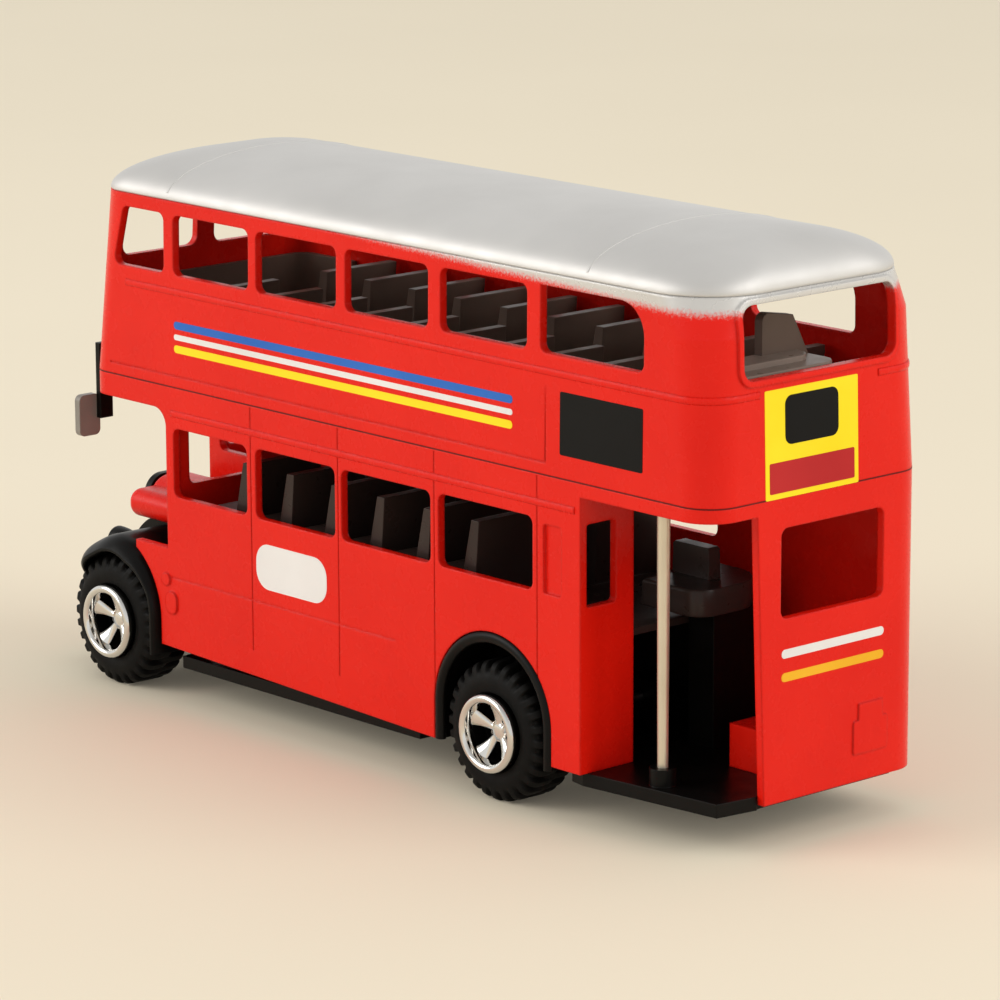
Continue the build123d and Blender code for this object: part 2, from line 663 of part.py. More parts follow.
# Radiator grille with upright slats
with BuildPart() as grille:
    with BuildSketch(rear.offset(bonnet_front)) as grille_face:
        with Locations((bonnet_mid, (cab_bottom_z + bonnet_top_z) / 2)):
            Rectangle(2 * bonnet_half - 1, bonnet_top_z - cab_bottom_z)
        fillet(grille_face.vertices().sort_by(Axis.Y)[-2:], 4.0)
        with Locations((radiator_mid, (plate_top_z + cab_bottom_z + 1) / 2)):
            Rectangle(8.6, cab_bottom_z + 1 - plate_top_z)
    extrude(amount=1.6)
    with BuildSketch(rear.offset(bonnet_front + 0.8)):
        with Locations((radiator_mid, (plate_top_z + bonnet_top_z) / 2 - 1)):
            with GridLocations(1.5, 0, 5, 1):
                Rectangle(0.8, 24.0)
    extrude(amount=0.8, mode=Mode.SUBTRACT)
grille.part.label = "grille"
export_step(grille.part, "parts/grille.step")

with BuildPart() as bumper:
    with BuildSketch(plan.offset(plate_top_z - 0.6)) as bumper_outline:
        with Locations((chassis_front + bumper_depth / 2, 0)):
            Rectangle(bumper_depth, 2 * bumper_half)
        fillet(bumper_outline.vertices().sort_by(Axis.X)[-2:], 1.8)
    extrude(amount=3.8)
    with BuildSketch(plan.offset(plate_bottom_z)):
        with Locations((chassis_front + 0.8, 0)):
            Rectangle(1.6, 16.0)
    extrude(amount=4.0)
bumper.part.label = "bumper"
export_step(bumper.part, "parts/bumper.step")

# Headlamps sit against the inner walls of the wings; mirrors hang from the front of the canopy
lamp_r = 2.9
lamp_y = wheel_zone_half - guard_wall - 2.1
lamp_z = axle_z + 11.4
lamp_rear = front_axle_station + 8.6
arm_thick = 1.3
for name, hand in (("left", 1), ("right", -1)):
    with BuildPart() as headlamp:
        with BuildSketch(plan.offset(lamp_z)):
            with BuildLine():
                Polyline(
                    (lamp_rear, hand * lamp_y),
                    (lamp_rear + 5.2, hand * lamp_y),
                    (lamp_rear + 5.2, hand * (lamp_y + lamp_r)),
                    (lamp_rear + 3.0, hand * (lamp_y + lamp_r)),
                    (lamp_rear + 0.4, hand * (lamp_y + 1.6)),
                    close=True,
                )
            make_face()
        revolve(axis=Axis((0, hand * lamp_y, lamp_z), (1, 0, 0)))
        with BuildSketch(side.offset(-hand * (wheel_zone_half - guard_wall))):
            with Locations((lamp_rear + 2.6, lamp_z)):
                Rectangle(3 * lamp_r, 3 * lamp_r)
        extrude(amount=-hand * lamp_r, mode=Mode.SUBTRACT)
    headlamp.part.label = "headlamp_" + name
    export_step(headlamp.part, "parts/headlamp_" + name + ".step")

    with BuildPart() as mirror_arm:
        with BuildSketch(rear.offset(deck_front)):
            with Locations((hand * (body_half - 4.1), seam_z - 3.0)):
                Rectangle(3.0, 15.0)
        extrude(amount=arm_thick)
    mirror_arm.part.label = "mirror_arm_" + name
    export_step(mirror_arm.part, "parts/mirror_arm_" + name + ".step")

    with BuildPart() as mirror_head:
        with BuildSketch(rear.offset(deck_front + arm_thick)):
            with Locations((hand * (body_half - 0.9), seam_z - 9.8)):
                RectangleRounded(5.0, 8.2, 1.2)
        extrude(amount=1.5)
    mirror_head.part.label = "mirror_head_" + name
    export_step(mirror_head.part, "parts/mirror_head_" + name + ".step")

with BuildPart() as pole:
    with BuildSketch(plan.offset(platform_top_z)):
        with Locations((pole_station, pole_y)):
            Circle(pole_r)
    extrude(amount=seam_z - platform_top_z)
pole.part.label = "pole"
export_step(pole.part, "parts/pole.step")

# Axles with their pressed-on wheels
for place, station in (("rear", rear_axle_station), ("front", front_axle_station)):
    with BuildPart() as axle:
        with BuildSketch(side):
            with Locations((station, axle_z)):
                Circle(axle_r)
        extrude(amount=dish_y - 1.0, both=True)
    axle.part.label = place + "_axle"
    export_step(axle.part, "parts/" + place + "_axle.step")

    for name, hand in (("left", 1), ("right", -1)):
        wheel = Plane(origin=(rear_x + station, 0, axle_z))
        spin = Axis((rear_x + station, 0, axle_z), (0, 1, 0))
        with BuildPart() as tyre:
            with BuildSketch(wheel):
                with BuildLine():
                    Polyline(
                        (tyre_bore_r, hand * tyre_inner_y),
                        (tyre_r, hand * tyre_inner_y),
                        (tyre_r, hand * tyre_outer_y),
                        (tyre_bore_r, hand * tyre_outer_y),
                        close=True,
                    )
                make_face()
            revolve(axis=spin)
            # Gaps between the lugs, right across the tread
            with BuildSketch(side.offset(-hand * tyre_outer_y)):
                with Locations((station, axle_z)):
                    with PolarLocations(tyre_r, tread_lugs):
                        Rectangle(2 * tread_groove, groove_width)
            extrude(amount=hand * tyre_width, mode=Mode.SUBTRACT)
        tyre.part.label = "tyre_" + place + "_" + name
        export_step(tyre.part, "parts/" + tyre.part.label + ".step")

        with BuildPart() as hub:
            with BuildSketch(wheel):
                with BuildLine():
                    Polyline(
                        (axle_r, hand * (tyre_inner_y + hub_inset)),
                        (3.0, hand * (tyre_inner_y + hub_inset)),
                        (3.0, hand * (dish_y - 1.4)),
                        (tyre_bore_r, hand * (dish_y - 1.4)),
                        (tyre_bore_r, hand * tyre_outer_y),
                        (ring_r, hand * tyre_outer_y),
                        (ring_r, hand * ring_y),
                        (ring_r - 0.9, hand * ring_y),
                        (ring_r - 1.2, hand * dish_y),
                        (2.2, hand * dish_y),
                        (2.2, hand * (dish_y + 0.6)),
                        (0, hand * (dish_y + 0.6)),
                        (0, hand * (dish_y - 1.0)),
                        (axle_r, hand * (dish_y - 1.0)),
                        close=True,
                    )
                make_face()
            revolve(axis=spin)
            # Openings between the flared spokes
            with BuildSketch(side.offset(-hand * ring_y)):
                with Locations((station, axle_z)):
                    with PolarLocations(4.5, spokes, 90):
                        Trapezoid(spoke_gap, 2.9, 96, rotation=-90)
            extrude(amount=hand * 7.0, mode=Mode.SUBTRACT)
        hub.part.label = "hub_" + place + "_" + name
        export_step(hub.part, "parts/" + hub.part.label + ".step")
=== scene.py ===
import json
import math

import bpy
import numpy as np
from mathutils import Matrix, Vector


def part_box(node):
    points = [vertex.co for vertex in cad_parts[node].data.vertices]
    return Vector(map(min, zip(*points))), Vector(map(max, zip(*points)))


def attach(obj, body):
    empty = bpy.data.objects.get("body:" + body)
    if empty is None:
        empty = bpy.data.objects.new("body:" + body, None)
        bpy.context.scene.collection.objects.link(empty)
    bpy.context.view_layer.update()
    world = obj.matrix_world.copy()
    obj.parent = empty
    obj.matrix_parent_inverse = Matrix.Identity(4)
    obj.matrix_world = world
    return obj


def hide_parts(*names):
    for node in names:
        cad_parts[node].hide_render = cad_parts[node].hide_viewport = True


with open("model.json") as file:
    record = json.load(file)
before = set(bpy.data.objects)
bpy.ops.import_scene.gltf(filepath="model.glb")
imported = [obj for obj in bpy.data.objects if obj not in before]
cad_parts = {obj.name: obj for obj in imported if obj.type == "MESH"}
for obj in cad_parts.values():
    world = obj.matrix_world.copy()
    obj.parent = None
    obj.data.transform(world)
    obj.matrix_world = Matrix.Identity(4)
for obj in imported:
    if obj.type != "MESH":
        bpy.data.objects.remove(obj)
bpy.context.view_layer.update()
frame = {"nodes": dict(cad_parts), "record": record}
nodes = frame["nodes"]
mm = 0.001
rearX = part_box("upper_body")[0].x           # station 0, the flat rear panel
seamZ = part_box("upper_body")[0].z / mm      # heights and stations below are in millimetres
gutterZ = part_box("upper_body")[1].z / mm
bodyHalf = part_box("upper_body")[1].y / mm
deckFront = (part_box("upper_body")[1].x - rearX) / mm
print("frame: seam %.1f, gutter %.1f, half width %.1f" % (seamZ, gutterZ, bodyHalf))


# station, y, z arrays in millimetres become frame coordinates in metres
def place(station, y, z):
    station, y, z = np.broadcast_arrays(station, y, z)
    return np.stack([rearX + station * mm, y * mm, z * mm], -1)


# rows of closed rings joined by quads; "fan" closes an end on its mean point, "strip" joins mirrored points,
# and "loop" joins the last row to the first
def ringFaces(rings, ends=("fan", "fan")):
    rows, count = rings.shape[:2]
    points = rings.reshape(-1, 3)
    here = np.arange(count)
    after = (here + 1) % count
    base = (np.arange(rows if ends == "loop" else rows - 1) * count)[:, None]
    onward = (base + count) % (rows * count)
    quads = np.stack([base + here, base + after, onward + after, onward + here], -1)
    faces = quads.reshape(-1, 4).tolist()
    if ends == "loop":
        return points, faces
    for first, kind in ((0, ends[0]), ((rows - 1) * count, ends[1])):
        flip = first == 0
        if kind == "fan":
            centre = len(points)
            points = np.vstack([points, points[first:first + count].mean(0)])
            spokes = np.stack([first + here, first + after, np.full(count, centre)], -1)
            faces += (spokes[:, ::-1] if flip else spokes).tolist()
        if kind == "strip":
            half = np.arange(count // 2 - 1)
            rungs = np.stack([half, half + 1, count - 2 - half, count - 1 - half], -1) + first
            faces += (rungs[:, ::-1] if flip else rungs).tolist()
    return points, faces


# six times the signed volume of the fan of every face tells whether the faces look outwards
def outward(points, faces):
    volume = 0.0
    for size in {len(face) for face in faces}:
        corners = points[np.array([face for face in faces if len(face) == size])]
        for k in range(1, size - 1):
            volume += np.einsum("ij,ij->i", corners[:, 0], np.cross(corners[:, k], corners[:, k + 1])).sum()
    return faces if volume > 0 else [face[::-1] for face in faces]


# one mesh from closed shells, each turned to face outwards; it rides on a body and has a slot
def addPiece(name, shells, material, body="bus_body", instead=(), crease=38):
    points, faces, start = [], [], 0
    for shellPoints, shellFaces in shells:
        facing = outward(shellPoints - shellPoints.mean(0), shellFaces)
        faces += [[corner + start for corner in face] for face in facing]
        points.append(shellPoints)
        start += len(shellPoints)
    mesh = bpy.data.meshes.new(name)
    mesh.from_pydata(np.vstack(points).tolist(), [], faces)
    mesh.polygons.foreach_set("use_smooth", np.ones(len(mesh.polygons), bool))
    mesh.set_sharp_from_angle(angle=math.radians(crease))
    mesh.materials.append(material)
    piece = bpy.data.objects.new(name, mesh)
    bpy.context.scene.collection.objects.link(piece)
    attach(piece, body)
    if instead:
        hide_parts(*instead)
    return piece


# Materials: every pattern is noise on Object coordinates, in metres
noiseLow, noiseHigh = 0.3, 0.7      # most of the noise lies between these
fineness = 6                        # the roughness pattern is this much finer than the colour's
grainDepth = 0.0001


# sRGB bytes become linear colour: a straight start, then a power curve
def linear(red, green, blue):
    srgb = np.array([red, green, blue]) / 255.0
    low = srgb / 12.92
    high = ((srgb + 0.055) / 1.055) ** 2.4
    return (*np.where(srgb <= 0.04045, low, high).tolist(), 1.0)


def newMaterial(name):
    material = bpy.data.materials.new(name)
    material.use_nodes = True
    tree = material.node_tree
    return material, tree, tree.nodes["Principled BSDF"]


def addNode(tree, kind, **settings):
    node = tree.nodes.new(kind)
    for key, value in settings.items():
        setattr(node, key, value)
    return node


def noise(tree, scale, detail=3.0, roughness=0.55):
    coords = addNode(tree, "ShaderNodeTexCoord")
    texture = addNode(tree, "ShaderNodeTexNoise")
    texture.inputs["Scale"].default_value = scale
    texture.inputs["Detail"].default_value = detail
    texture.inputs["Roughness"].default_value = roughness
    tree.links.new(coords.outputs["Object"], texture.inputs["Vector"])
    return texture.outputs["Fac"]


# ramp from one colour to another over the factor
def between(tree, factor, low, high, start=noiseLow, end=noiseHigh):
    ramp = addNode(tree, "ShaderNodeValToRGB")
    ramp.color_ramp.elements[0].position = start
    ramp.color_ramp.elements[0].color = low
    ramp.color_ramp.elements[1].position = end
    ramp.color_ramp.elements[1].color = high
    tree.links.new(factor, ramp.inputs["Fac"])
    return ramp.outputs["Color"]


# one range carried to another, straight or as a smooth step
def remap(tree, value, fromMin, fromMax, toMin, toMax, smooth=False):
    node = addNode(tree, "ShaderNodeMapRange")
    node.interpolation_type = "SMOOTHSTEP" if smooth else "LINEAR"
    for key, number in zip(("From Min", "From Max", "To Min", "To Max"), (fromMin, fromMax, toMin, toMax)):
        node.inputs[key].default_value = number
    tree.links.new(value, node.inputs["Value"])
    return node.outputs["Result"]


# one arithmetic step on two values, each a number or a socket
def math2(tree, operation, first, second):
    node = addNode(tree, "ShaderNodeMath", operation=operation)
    for socket, value in zip(node.inputs, (first, second)):
        if isinstance(value, (int, float)):
            socket.default_value = value
        else:
            tree.links.new(value, socket)
    return node.outputs[0]


# fine moulding grain over softened edges
def grainNormal(tree, shader, scale, strength, edge):
    bump = addNode(tree, "ShaderNodeBump")
    bump.inputs["Strength"].default_value = strength
    bump.inputs["Distance"].default_value = grainDepth
    tree.links.new(noise(tree, scale, 4.0), bump.inputs["Height"])
    if edge:
        bevel = addNode(tree, "ShaderNodeBevel", samples=4)
        bevel.inputs["Radius"].default_value = edge
        tree.links.new(bevel.outputs["Normal"], bump.inputs["Normal"])
    tree.links.new(bump.outputs["Normal"], shader.inputs["Normal"])


# two close shades and a range of roughness, each spread by noise, under the grain
def moulded(name, dark, light, rough, grain=2600.0, bump=0.06, edge=0.0003, metallic=0.0, patch=45.0,
            sheen=0.2):
    material, tree, shader = newMaterial(name)
    colour = between(tree, noise(tree, patch), linear(*dark), linear(*light))
    tree.links.new(colour, shader.inputs["Base Color"])
    roughness = remap(tree, noise(tree, patch * fineness), noiseLow, noiseHigh, *rough)
    tree.links.new(roughness, shader.inputs["Roughness"])
    shader.inputs["Metallic"].default_value = metallic
    shader.inputs["Specular IOR Level"].default_value = sheen
    grainNormal(tree, shader, grain, bump, edge)
    return material


redShades = {"dark": (222, 22, 9), "light": (229, 28, 13), "rough": (0.24, 0.3)}
redFinish = {"grain": 2600.0, "bump": 0.06, "edge": 0.0006, "patch": 45.0, "sheen": 0.2}
silverShades = {"dark": (206, 204, 202), "light": (216, 214, 212), "rough": (0.5, 0.58)}
silverFinish = {"grain": 5200.0, "bump": 0.2, "metallic": 0.7, "patch": 30.0, "sheen": 0.4}
redMoulding = moulded("redMoulding", **redShades, **redFinish)
silverPaint = moulded("silverPaint", **silverShades, **silverFinish)
blackMoulding = moulded("blackMoulding", (8, 7, 6), (11, 10, 9), (0.28, 0.4), bump=0.08, sheen=0.13)
seatMoulding = moulded("seatMoulding", (92, 77, 68), (106, 90, 80), (0.3, 0.42), bump=0.08)
# the seat plastic made darker: painted shade for the dim lower saloon, used on the lower seats and the
# landing bench
seatMouldingPaintedShade = moulded("seatMouldingPaintedShade", (46, 36, 33), (56, 44, 40), (0.26, 0.38), bump=0.08)
# the seat plastic made lighter and greyer: painted highlight standing in for the gloss on the rear bench's
# top
seatMouldingPaintedHighlight = moulded("seatMouldingPaintedHighlight", (118, 104, 95), (134, 119, 109), (0.26, 0.38), bump=0.08)
chromePlate = moulded("chromePlate", (216, 214, 210), (232, 230, 226), (0.05, 0.14), grain=900.0, bump=0.03,
                      edge=0.00012, metallic=1.0)
mirrorPlate = moulded("mirrorPlate", (132, 127, 121), (160, 154, 147), (0.34, 0.46), bump=0.05, metallic=0.2)
poleMetal = moulded("poleMetal", (208, 196, 174), (224, 213, 192), (0.28, 0.4), grain=900.0, bump=0.08,
                    metallic=0.7)
axleSteel = moulded("axleSteel", (150, 148, 146), (176, 174, 172), (0.24, 0.4), metallic=1.0)
tyreRubber = moulded("tyreRubber", (8, 7, 6), (12, 10, 9), (0.5, 0.66), grain=1800.0, bump=0.25, sheen=0.12)


# silver paint mist over the red: it begins at a height that falls towards the rear, broken up by fine noise
sprayed = {"frontX": 20.0, "frontZ": gutterZ + 1.2, "rearX": -90.0, "rearZ": gutterZ - 2.8, "speck": 1.6,
           "fade": 0.9, "grain": 2400.0, "detail": 5.0, "roughness": 0.7, "metallic": 0.35}


def sprayedRed():
    material, tree, shader = newMaterial("sprayedRed")
    coords = addNode(tree, "ShaderNodeTexCoord")
    split = addNode(tree, "ShaderNodeSeparateXYZ")
    tree.links.new(coords.outputs["Object"], split.inputs["Vector"])
    edge = remap(tree, split.outputs["X"], sprayed["rearX"] * mm, sprayed["frontX"] * mm,
                 sprayed["rearZ"] * mm, sprayed["frontZ"] * mm)
    above = math2(tree, "SUBTRACT", split.outputs["Z"], edge)
    specks = noise(tree, sprayed["grain"], sprayed["detail"], sprayed["roughness"])
    speck = remap(tree, specks, 0.0, 1.0, -sprayed["speck"] * mm, sprayed["speck"] * mm)
    fade = sprayed["fade"] * mm
    mist = remap(tree, math2(tree, "ADD", above, speck), -fade, fade, 0, 1, True)
    red, silver = (
        between(tree, noise(tree, finish["patch"]), linear(*shades["dark"]), linear(*shades["light"]))
        for shades, finish in ((redShades, redFinish), (silverShades, silverFinish)))
    blend = addNode(tree, "ShaderNodeMix", data_type="RGBA")
    tree.links.new(mist, blend.inputs["Factor"])
    tree.links.new(red, blend.inputs["A"])
    tree.links.new(silver, blend.inputs["B"])
    tree.links.new(blend.outputs["Result"], shader.inputs["Base Color"])
    tree.links.new(remap(tree, mist, 0, 1, 0.0, sprayed["metallic"]), shader.inputs["Metallic"])
    fine = noise(tree, redFinish["patch"] * fineness)
    tree.links.new(remap(tree, fine, noiseLow, noiseHigh, *redShades["rough"]), shader.inputs["Roughness"])
    shader.inputs["Specular IOR Level"].default_value = redFinish["sheen"]
    grainNormal(tree, shader, redFinish["grain"], redFinish["bump"], redFinish["edge"])
    return material


slotMaterials = {
    "red_plastic": redMoulding, "silver_roof": silverPaint, "black_plastic": blackMoulding,
    "seat_plastic": seatMoulding, "chrome": chromePlate, "mirror_silver": mirrorPlate,
    "axle_steel": axleSteel, "tyre_rubber": tyreRubber,
}
# the lower seats take the darker seat plastic, which is painted shade
nodeMaterials = {"upper_body": sprayedRed(), "lower_seats": seatMouldingPaintedShade}
for part in frame["record"]["subparts"]:
    node = nodes[part["node"]]
    paint = nodeMaterials.get(part["node"], slotMaterials[part["material_slot"]])
    if not node.material_slots:
        node.data.materials.append(paint)
    for holder in node.material_slots:
        holder.material = paint
print("materials: %d on %d nodes" % (len(bpy.data.materials), len(nodes)))

# Roof: level outlines, each a rounded rectangle that draws in with the cosine of its level
roof = {"gutterRear": 1.0, "gutterFront": deckFront - 2.4, "half": bodyHalf - 0.4, "rise": 7.8,
        "rearRun": 16.0, "frontRun": 20.0, "rearCorner": 13.0, "frontCorner": 8.0, "wall": 1.5, "top": 88.0,
        "shoulder": 30.0, "cornerPower": 0.6, "lip": 0.16, "lipRise": 0.02, "seat": 0.25, "rearRib": 30.9,
        "frontRib": 147.6, "ribWidth": 0.28, "ribRise": 0.18, "ribEnd": 0.3, "ribSeat": 0.2}


# half width, ends and corner radii of the level outline at each angle; a corner never outgrows the half width
def roofLevel(angle, inset=0.0):
    draw = 1 - np.cos(angle)
    half = (roof["half"] - inset) * np.cos(angle)
    first = roof["gutterRear"] + inset + roof["rearRun"] * draw
    last = roof["gutterFront"] - inset - roof["frontRun"] * draw
    share = (half / roof["half"]) ** roof["cornerPower"]
    rearR = half * (1 - (1 - roof["rearCorner"] / roof["half"]) * share)
    frontR = half * (1 - (1 - roof["frontCorner"] / roof["half"]) * share)
    height = gutterZ + (roof["rise"] - inset) * np.sin(angle)
    return half, first, last, rearR, frontR, height


# outline from the rear middle round the nearside to the front middle, then mirrored; arcs are quarter turns
def roofRing(half, first, last, rearR, frontR, height):
    half, first, last, rearR, frontR, height = (
        np.asarray(value, float)[..., None] for value in (half, first, last, rearR, frontR, height))
    turn = np.linspace(0, math.pi / 2, 15)
    step = np.linspace(0, 1, 9)[1:-1]
    run = np.linspace(0, 1, 81)[1:-1]
    stations = np.concatenate([
        first + 0 * step, first + rearR * (1 - np.cos(turn)),
        first + rearR + (last - frontR - first - rearR) * run,
        last - frontR + frontR * np.sin(turn), last + 0 * step], -1)
    sides = np.concatenate([
        (half - rearR) * step, half - rearR + rearR * np.sin(turn),
        half + 0 * run, half - frontR + frontR * np.cos(turn), (half - frontR) * step[::-1]], -1)
    near = place(stations, sides, height)
    far = place(stations, -sides, height)[..., ::-1, :]
    return np.concatenate([near, far], -2)


# height of the roof over a point: bisects the level whose outline passes through it
def roofHeight(station, y):
    low = np.zeros_like(y)
    high = np.full_like(y, math.pi / 2)
    for _ in range(40):
        middle = (low + high) / 2
        half, first, last, rearR, frontR, height = roofLevel(middle)
        corner = np.where(station < (first + last) / 2, rearR, frontR)
        across = np.abs(y) - (half - corner)
        along = np.abs(station - (first + last) / 2) - ((last - first) / 2 - corner)
        out = np.hypot(np.maximum(across, 0), np.maximum(along, 0)) + np.minimum(np.maximum(across, along), 0)
        inside = out < corner
        low = np.where(inside, middle, low)
        high = np.where(inside, high, middle)
    return roofLevel((low + high) / 2)[-1]


# shell: inner levels from the top down, a lip under the gutter, then the outer levels from the gutter up
def makeRoof():
    low, high = np.linspace(0, roof["shoulder"], 16), np.linspace(roof["shoulder"], roof["top"], 30)
    rise = np.radians(np.concatenate([low, high[1:]]))
    outer = roofRing(*roofLevel(rise))
    inner = roofRing(*roofLevel(rise[::-1], roof["wall"]))
    half, first, last, rearR, frontR, height = roofLevel(np.zeros(1))
    lip = roof["lip"]
    tuck = roofRing(half - lip, first + lip, last - lip, rearR - lip, frontR - lip, height + roof["lipRise"])
    rings = np.concatenate([inner, tuck, outer + np.array([0, 0, roof["seat"] * mm])])
    return addPiece("roofShell", [ringFaces(rings, ("strip", "strip"))], silverPaint,
                    instead=["roof"])


# rib: a thin oval bead whose middle follows the roof across one station
def makeRib(name, station):
    reach = roof["half"] - roof["ribEnd"]
    y = np.linspace(-reach, reach, 121)
    z = roofHeight(np.full_like(y, station), y) + roof["ribSeat"]
    slopeY, slopeZ = np.gradient(y), np.gradient(z)
    length = np.hypot(slopeY, slopeZ)
    around = np.linspace(0, 2 * math.pi, 13)[:-1]
    lift = roof["ribRise"] * np.sin(around)
    rings = place(station + roof["ribWidth"] * np.cos(around)[None, :] + 0 * y[:, None],
                  y[:, None] - lift * (slopeZ / length)[:, None],
                  z[:, None] + lift * (slopeY / length)[:, None])
    return addPiece(name, [ringFaces(rings)], silverPaint)


makeRoof()
makeRib("rearRoofRib", roof["rearRib"])
makeRib("frontRoofRib", roof["frontRib"])
print("roof: shell and two ribs")

# Tyres: a closed rubber section turned round the axle, raised into lugs that alternate across the tread
tyre = {"radius": 13.0, "bore": 7.0, "lugs": 28, "steps": 14, "depth": 1.15, "shoulder": 1.9, "sideRib": 2.3,
        "web": 2.0, "webRadii": (1.4, 3.0, 5.0), "boreTaper": 0.1, "boreEdge": 1.0, "bulge": 0.45,
        "innerBulge": 0.3, "sideBlend": 1.0, "sharp": 4.5, "bias": 0.25, "treadBlend": 1.2, "ribShare": 0.85,
        "ribHalf": 1.1, "wallShare": 0.25, "pull": 0.55}
wheels = {"rear": ("rear_axle", "rear_wheels"), "front": ("front_axle", "front_wheels")}


# station and height of an axle's middle
def axleCentre(axleNode):
    low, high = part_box(axleNode)
    return ((low.x + high.x) / 2 - rearX) / mm, (low.z + high.z) / 2 / mm


# section from the bore over the outer wall, tread and inner wall, as radius and width pairs
def tyreSection(innerY, outerY):
    r, s = tyre["radius"], tyre["shoulder"]
    arc = np.linspace(0, math.pi / 2, 8)
    wall = np.linspace(0, 1, 9)
    bulge = tyre["bulge"] * np.sin(wall * math.pi)
    bore, web = tyre["bore"], tyre["webRadii"]
    radius = np.concatenate([
        web, bore + tyre["boreTaper"] * wall[:2], bore + (r - s - bore) * wall[1:],
        r - s + s * np.sin(arc[1:]), np.full(7, r), r - s + s * np.cos(arc),
        bore + (r - s - bore) * wall[-2::-1], [web[-1], web[0]]])
    top, bottom = outerY - tyre["bulge"], innerY + tyre["innerBulge"]
    width = np.concatenate([
        np.full(len(web), innerY + tyre["web"]), [innerY + tyre["web"], outerY - tyre["boreEdge"]],
        top + bulge[1:], top - s + s * np.cos(arc[1:]), np.linspace(top - s, bottom + s, 9)[1:-1],
        bottom + s - s * np.sin(arc), bottom - tyre["innerBulge"] * np.sin(wall[-2::-1] * math.pi),
        [bottom, bottom]])
    return radius, width


# radius drops between the lugs: a soft square wave round the rim, half a pitch apart on the two sides
def makeTyre(name, axleNode, body, node, hand):
    station, axleZ = axleCentre(axleNode)
    low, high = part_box(node)
    innerY, outerY = sorted((abs(low.y) / mm, abs(high.y) / mm))
    radius, width = tyreSection(innerY, outerY)
    turn = np.linspace(0, 2 * math.pi, tyre["lugs"] * tyre["steps"] + 1)[:-1]
    middle = (innerY + outerY) / 2
    outerSide = np.clip((width - middle) / tyre["sideBlend"], -1, 1)[:, None]
    wave = tyre["lugs"] * turn[None, :]
    square = np.tanh(tyre["sharp"] * (np.cos(wave + 0.5 * math.pi * (1 - outerSide)) + tyre["bias"]))
    gap = 0.5 * (1 - square)
    tread = np.clip((radius - (tyre["radius"] - tyre["sideRib"])) / tyre["treadBlend"], 0, 1)[:, None]
    centreRib = 1 - tyre["ribShare"] * np.exp(-((width - middle) / tyre["ribHalf"]) ** 2)[:, None]
    sink = gap * tread * centreRib
    onTread = np.clip((radius - (tyre["radius"] - tyre["shoulder"])) / tyre["shoulder"], 0, 1)[:, None]
    share = tyre["wallShare"] + (1 - tyre["wallShare"]) * onTread
    dug = radius[:, None] - tyre["depth"] * sink * share
    pulled = width[:, None] - tyre["pull"] * np.sign(width - middle)[:, None] * sink * (1 - onTread)
    rings = place(station + dug * np.cos(turn), hand * pulled, axleZ + dug * np.sin(turn))
    return addPiece(name, [ringFaces(rings, "loop")], tyreRubber, body, [node])


# Hubs: rim and cap are turned sections, and each spoke is a flat oval section that flares towards the rim
hub = {"ring": 7.3, "bead": 0.8, "beadFrom": -0.4, "beadTo": math.pi - 0.3, "skirt": 0.35, "barrel": 5.6,
       "draft": 0.05, "lipDepth": 1.6, "rimDepth": 2.4, "dish": 3.6, "cap": 1.75, "capFoot": 0.25,
       "capDome": 0.5, "capTip": 0.02, "spokes": 5, "root": 1.2, "overlap": 0.2, "neck": 0.85, "flare": 1.8,
       "flarePower": 1.6, "sink": 0.1, "climb": 1.5, "climbPower": 1.7, "flatness": 0.6, "thick": 0.45,
       "bow": 0.22}
well = {"wall": 0.15, "inset": 0.4, "bore": 1.3, "front": 2.3, "floor": 5.6, "back": 6.6}


# rows of radius and width become circles round the axle
def turned(station, axleZ, hand, radius, width, count=96, ends=("fan", "fan")):
    turn = np.linspace(0, 2 * math.pi, count + 1)[:-1]
    radius, width = np.asarray(radius, float)[:, None], np.asarray(width, float)[:, None]
    rings = place(station + radius * np.cos(turn), hand * width + 0 * turn, axleZ + radius * np.sin(turn))
    return ringFaces(rings, ends)


